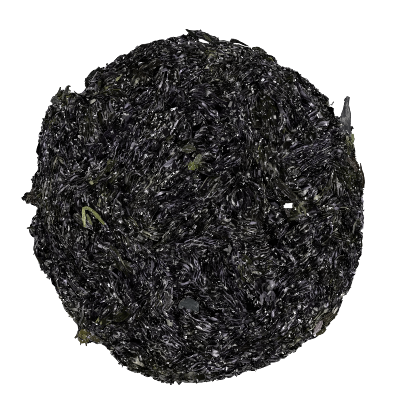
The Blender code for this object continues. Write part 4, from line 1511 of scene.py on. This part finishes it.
def make_core():
    me = bpy.data.meshes.new("mat_core")
    co = SKIN.co - SKIN.vn * 3.0 * MM
    co[:, 2] -= 1.5 * MM * smooth01((SKIN.co[:, 2] - 7 * MM) / (3 * MM)) * (SKIN.vn[:, 2] > 0)
    co[:, 2] = np.maximum(co[:, 2], 1.2 * MM)
    notch = co[:, 1] > 52 * MM
    co[notch, 0] = np.minimum(co[notch, 0], 84.5 * MM)
    over = (co[:, 0] > -8 * MM) & (co[:, 0] < 32 * MM) & (co[:, 1] > 94 * MM)
    co[over, 1] = np.minimum(co[over, 1], 95.5 * MM)
    me.from_pydata([tuple(v) for v in co], [], [tuple(int(i) for i in t) for t in SKIN.tri])
    ob = bpy.data.objects.new("mat_core", me)
    bpy.context.scene.collection.objects.link(ob)
    re = ob.modifiers.new("remesh", "REMESH")
    re.mode = "VOXEL"
    re.voxel_size = 2.0 * MM
    dg = bpy.context.evaluated_depsgraph_get()
    new = bpy.data.meshes.new_from_object(ob.evaluated_get(dg))
    ob.modifiers.clear()
    ob.data = new
    bpy.data.meshes.remove(me)
    co = np.zeros(len(new.vertices) * 3)
    no = np.zeros(len(new.vertices) * 3)
    new.vertices.foreach_get("co", co)
    new.vertices.foreach_get("normal", no)
    co, no = co.reshape(-1, 3), no.reshape(-1, 3)
    f = Field(rng_for("core"), 5 * MM, 30)
    g = Field(rng_for("core2"), 2.6 * MM, 30)
    co = co + no * ((f(co) - 0.8) * 0.7 * MM + g(co) * 0.35 * MM)[:, None]
    co[:, 2] = np.maximum(co[:, 2], 0.6 * MM)
    new.vertices.foreach_set("co", co.astype(np.float32).ravel())
    new.update()
    new.shade_smooth()
    new.name = "mat_core"
    new.materials.clear()
    new.materials.append(core_material())
    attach(ob, "root")
    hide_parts("laver_cake")
    print("PIECE mat_core faces", len(new.polygons))
    return ob


def make_rim():
    rim = Batch()
    rng = rng_for("rim")
    count = 330
    a = (np.arange(count) + rng.uniform(0, 1, count)) * 2 * math.pi / count
    a = rng.permutation(a)
    z = rng.uniform(1.0, 13.0, count) * MM
    away = np.stack([np.cos(a), np.sin(a), np.zeros(count)], 1)
    starts = MAT_CENTRE + away * 0.16
    starts[:, 2] = z
    hub = SKIN.cast(starts, [tuple(-v) for v in away])
    rel = unit((hub - MAT_CENTRE) * np.array((1, 1, 0)))
    side = np.stack([-rel[:, 1], rel[:, 0], np.zeros(len(hub))], 1)
    tilt = rng.normal(size=len(hub)) * 0.75
    way = side * np.cos(tilt)[:, None] + np.array((0, 0, 1.0)) * np.sin(tilt)[:, None]
    n = len(hub)
    lay_group(rim, rng, hub, way, None, rng.uniform(6, 15, n) * MM, 13, rng.uniform(2.5, 7, n) * MM,
              rng.normal(size=n) * 0.5 * MM - 0.8 * MM, pleats=8, low=3, roll=0.35, tip_up=0.2,
              steer=0.08, curl=0.2)
    build("fronds_rim", rim, frond_mat)

    # small tips that stick out of the edge
    tips = Batch()
    rng = rng_for("tips")
    count = 420
    a = np.sort(rng.uniform(0, 2 * math.pi, count))
    away = np.stack([np.cos(a), np.sin(a), np.zeros(count)], 1)
    starts = MAT_CENTRE + away * 0.16
    starts[:, 2] = rng.uniform(2.0, 11.0, count) * MM
    hub = SKIN.cast(starts, [tuple(-v) for v in away])
    _, out = SKIN.nearest(hub)
    out = unit(out * np.array((1, 1, 0.4)))
    side = unit(np.cross(out, (0, 0, 1.0)))
    n = len(hub)
    slant = rng.normal(size=n)[:, None] * 0.8
    way = unit(out + side * slant + np.array((0, 0, 1.0)) * rng.normal(size=n)[:, None] * 0.2)
    reach = np.minimum(0.1 + rng.exponential(0.42, n), 1.7)[:, None] * MM
    bend = side * rng.normal(size=n)[:, None] * 0.4 * MM
    s = np.linspace(0, 1, 7)[None, :, None]
    from_, to = hub - way * 2.6 * MM, hub + out * reach * 0.75 + way * reach * 0.25
    P = from_[:, None] * (1 - s) + to[:, None] * s + bend[:, None] * (4 * s * (1 - s))
    N = np.tile((0.0, 0.0, 1.0), (n, 7, 1)) + rng.normal(size=(n, 1, 3)) * 0.35
    own = np.clip(np.linspace(1.15, 0.55, 7)[None] * rng.uniform(0.7, 1.3, (n, 7)), 0.4, 1.3)
    V, uvc = strips(P, unit(N), rng, rng.uniform(1.4, 3.4, n) * MM, np.zeros(n), pleats=5, low=2, wave=0.1 * MM,
                    roll=0.5, dip=0.0, fold=0.2 * MM, fold_pitch=1.6 * MM, own=own)
    keep = clear_of_gaps(V)
    tags = {k: v[keep] for k, v in tags_for(rng, P).items()}
    tips.add(above_floor(V[keep]), uvc[keep], tags)
    build("rim_tips", tips, frond_mat)


def make_under():
    under = Batch()
    rng = rng_for("under")
    s, w, k = bundles(rng, 120, 98 * MM, (1, 2), 8.0 * MM, down=False)
    n = len(s)
    lay_group(under, rng, s, w, k, rng.uniform(14, 30, n) * MM, 11, rng.uniform(7, 13, n) * MM,
              kin_depth(rng, k, -2.0 * MM, 0.3 * MM, 0.3 * MM), pleats=12, low=4, roll=0.12, twist=0.15,
              fold=0.5 * MM, dip=0.8 * MM, wave=0.5 * MM, tip=0.35)
    s, w, k = bundles(rng, 170, 100 * MM, (1, 2), 4.5 * MM, down=False)
    n = len(s)
    lay_group(under, rng, s, w, k, rng.uniform(8, 19, n) * MM, 10, rng.uniform(3, 7, n) * MM,
              kin_depth(rng, k, -1.1 * MM, 0.3 * MM, 0.3 * MM), pleats=7, low=3, roll=0.18, twist=0.2,
              fold=0.4 * MM, dip=1.0 * MM, wave=0.5 * MM)
    for _ in range(2):
        hub = top_points(bare((under,), rng, down=False), down=False)
        n = len(hub)
        if n == 0:
            break
        ang = rng.uniform(0, math.pi, n)
        way = np.stack([np.cos(ang), np.sin(ang), np.zeros(n)], 1)
        lay_group(under, rng, hub, way, None, rng.uniform(10, 18, n) * MM, 9, rng.uniform(5, 9, n) * MM,
                  rng.normal(size=n) * 0.3 * MM - 2.3 * MM, pleats=8, low=3, tip_up=0.0, tip=0.4, dip=0.4 * MM)
    build("fronds_under", under, frond_mat)


make_core()
make_top()
make_rim()
make_under()
make_blades(laver_material("laver_blade", 1.0, 0.35, 1.0, own=True))

# ------------------------------------------------------------------ floor, light and camera
floor_me = bpy.data.meshes.new("floor")
bm = bmesh.new()
bmesh.ops.create_grid(bm, x_segments=2, y_segments=2, size=3.0)
bm.to_mesh(floor_me)
bm.free()
floor = bpy.data.objects.new("floor", floor_me)
bpy.context.scene.collection.objects.link(floor)
fm = bpy.data.materials.new("floor")
fm.use_nodes = True
fb = fm.node_tree.nodes["Principled BSDF"]
fb.inputs["Base Color"].default_value = (0.35, 0.35, 0.35, 1)
fb.inputs["Roughness"].default_value = 0.9
fb.inputs["Specular IOR Level"].default_value = 0.0
fb.inputs["Emission Color"].default_value = (1, 1, 1, 1)
fb.inputs["Emission Strength"].default_value = 0.97
floor_me.materials.append(fm)

scene = bpy.context.scene
scene.view_settings.view_transform = "Standard"
scene.cycles.use_denoising = False
scene.cycles.filter_width = 0.9
world = bpy.data.worlds.new("studio")
world.use_nodes = True
world.node_tree.nodes["Background"].inputs["Color"].default_value = (1, 1, 1, 1)
world.node_tree.nodes["Background"].inputs["Strength"].default_value = 0.015
scene.world = world


def softbox(name, at, size, watts, tone=(1.0, 0.95, 0.97)):
    li = bpy.data.lights.new(name, "AREA")
    li.shape = "RECTANGLE"
    li.size, li.size_y = size
    li.energy = watts
    li.color = tone
    ob = bpy.data.objects.new(name, li)
    scene.collection.objects.link(ob)
    ob.location = at
    from mathutils import Vector

    ob.rotation_euler = Vector((-at[0], -at[1], -at[2])).to_track_quat("-Z", "Y").to_euler()
    return ob


for k in range(8):
    turn = math.radians(22.5 + 45 * k)
    low = (1.9, 0.4, 1.5, 0.5, 1.7, 0.4, 1.6, 0.6)[k]
    softbox(
        "box_%d" % k, (0.75 * math.cos(turn), 0.75 * math.sin(turn), 0.90), (0.26, 0.26), 0.98 * low,
        (0.97, 0.93, 1.0) if k % 2 else (0.99, 0.975, 0.935),
    )
softbox("spot_left", (-0.55, -0.10, 1.0), (0.13, 0.13), 2.3, (0.99, 0.96, 1.0))
softbox("spot_right", (0.60, -0.25, 0.9), (0.11, 0.14), 1.9, (0.99, 0.98, 0.95))
softbox("spot_back", (0.15, 0.60, 0.9), (0.14, 0.11), 1.9, (0.97, 0.97, 1.0))

cam = bpy.data.cameras.new("camera")
cam_ob = bpy.data.objects.new("camera", cam)
scene.collection.objects.link(cam_ob)
cam.lens = 120
cam.sensor_width = 36
cam_ob.location = (3.84 * MM, 3.84 * MM, 0.8 + 6 * MM)
cam.clip_start = 0.05
scene.camera = cam_ob
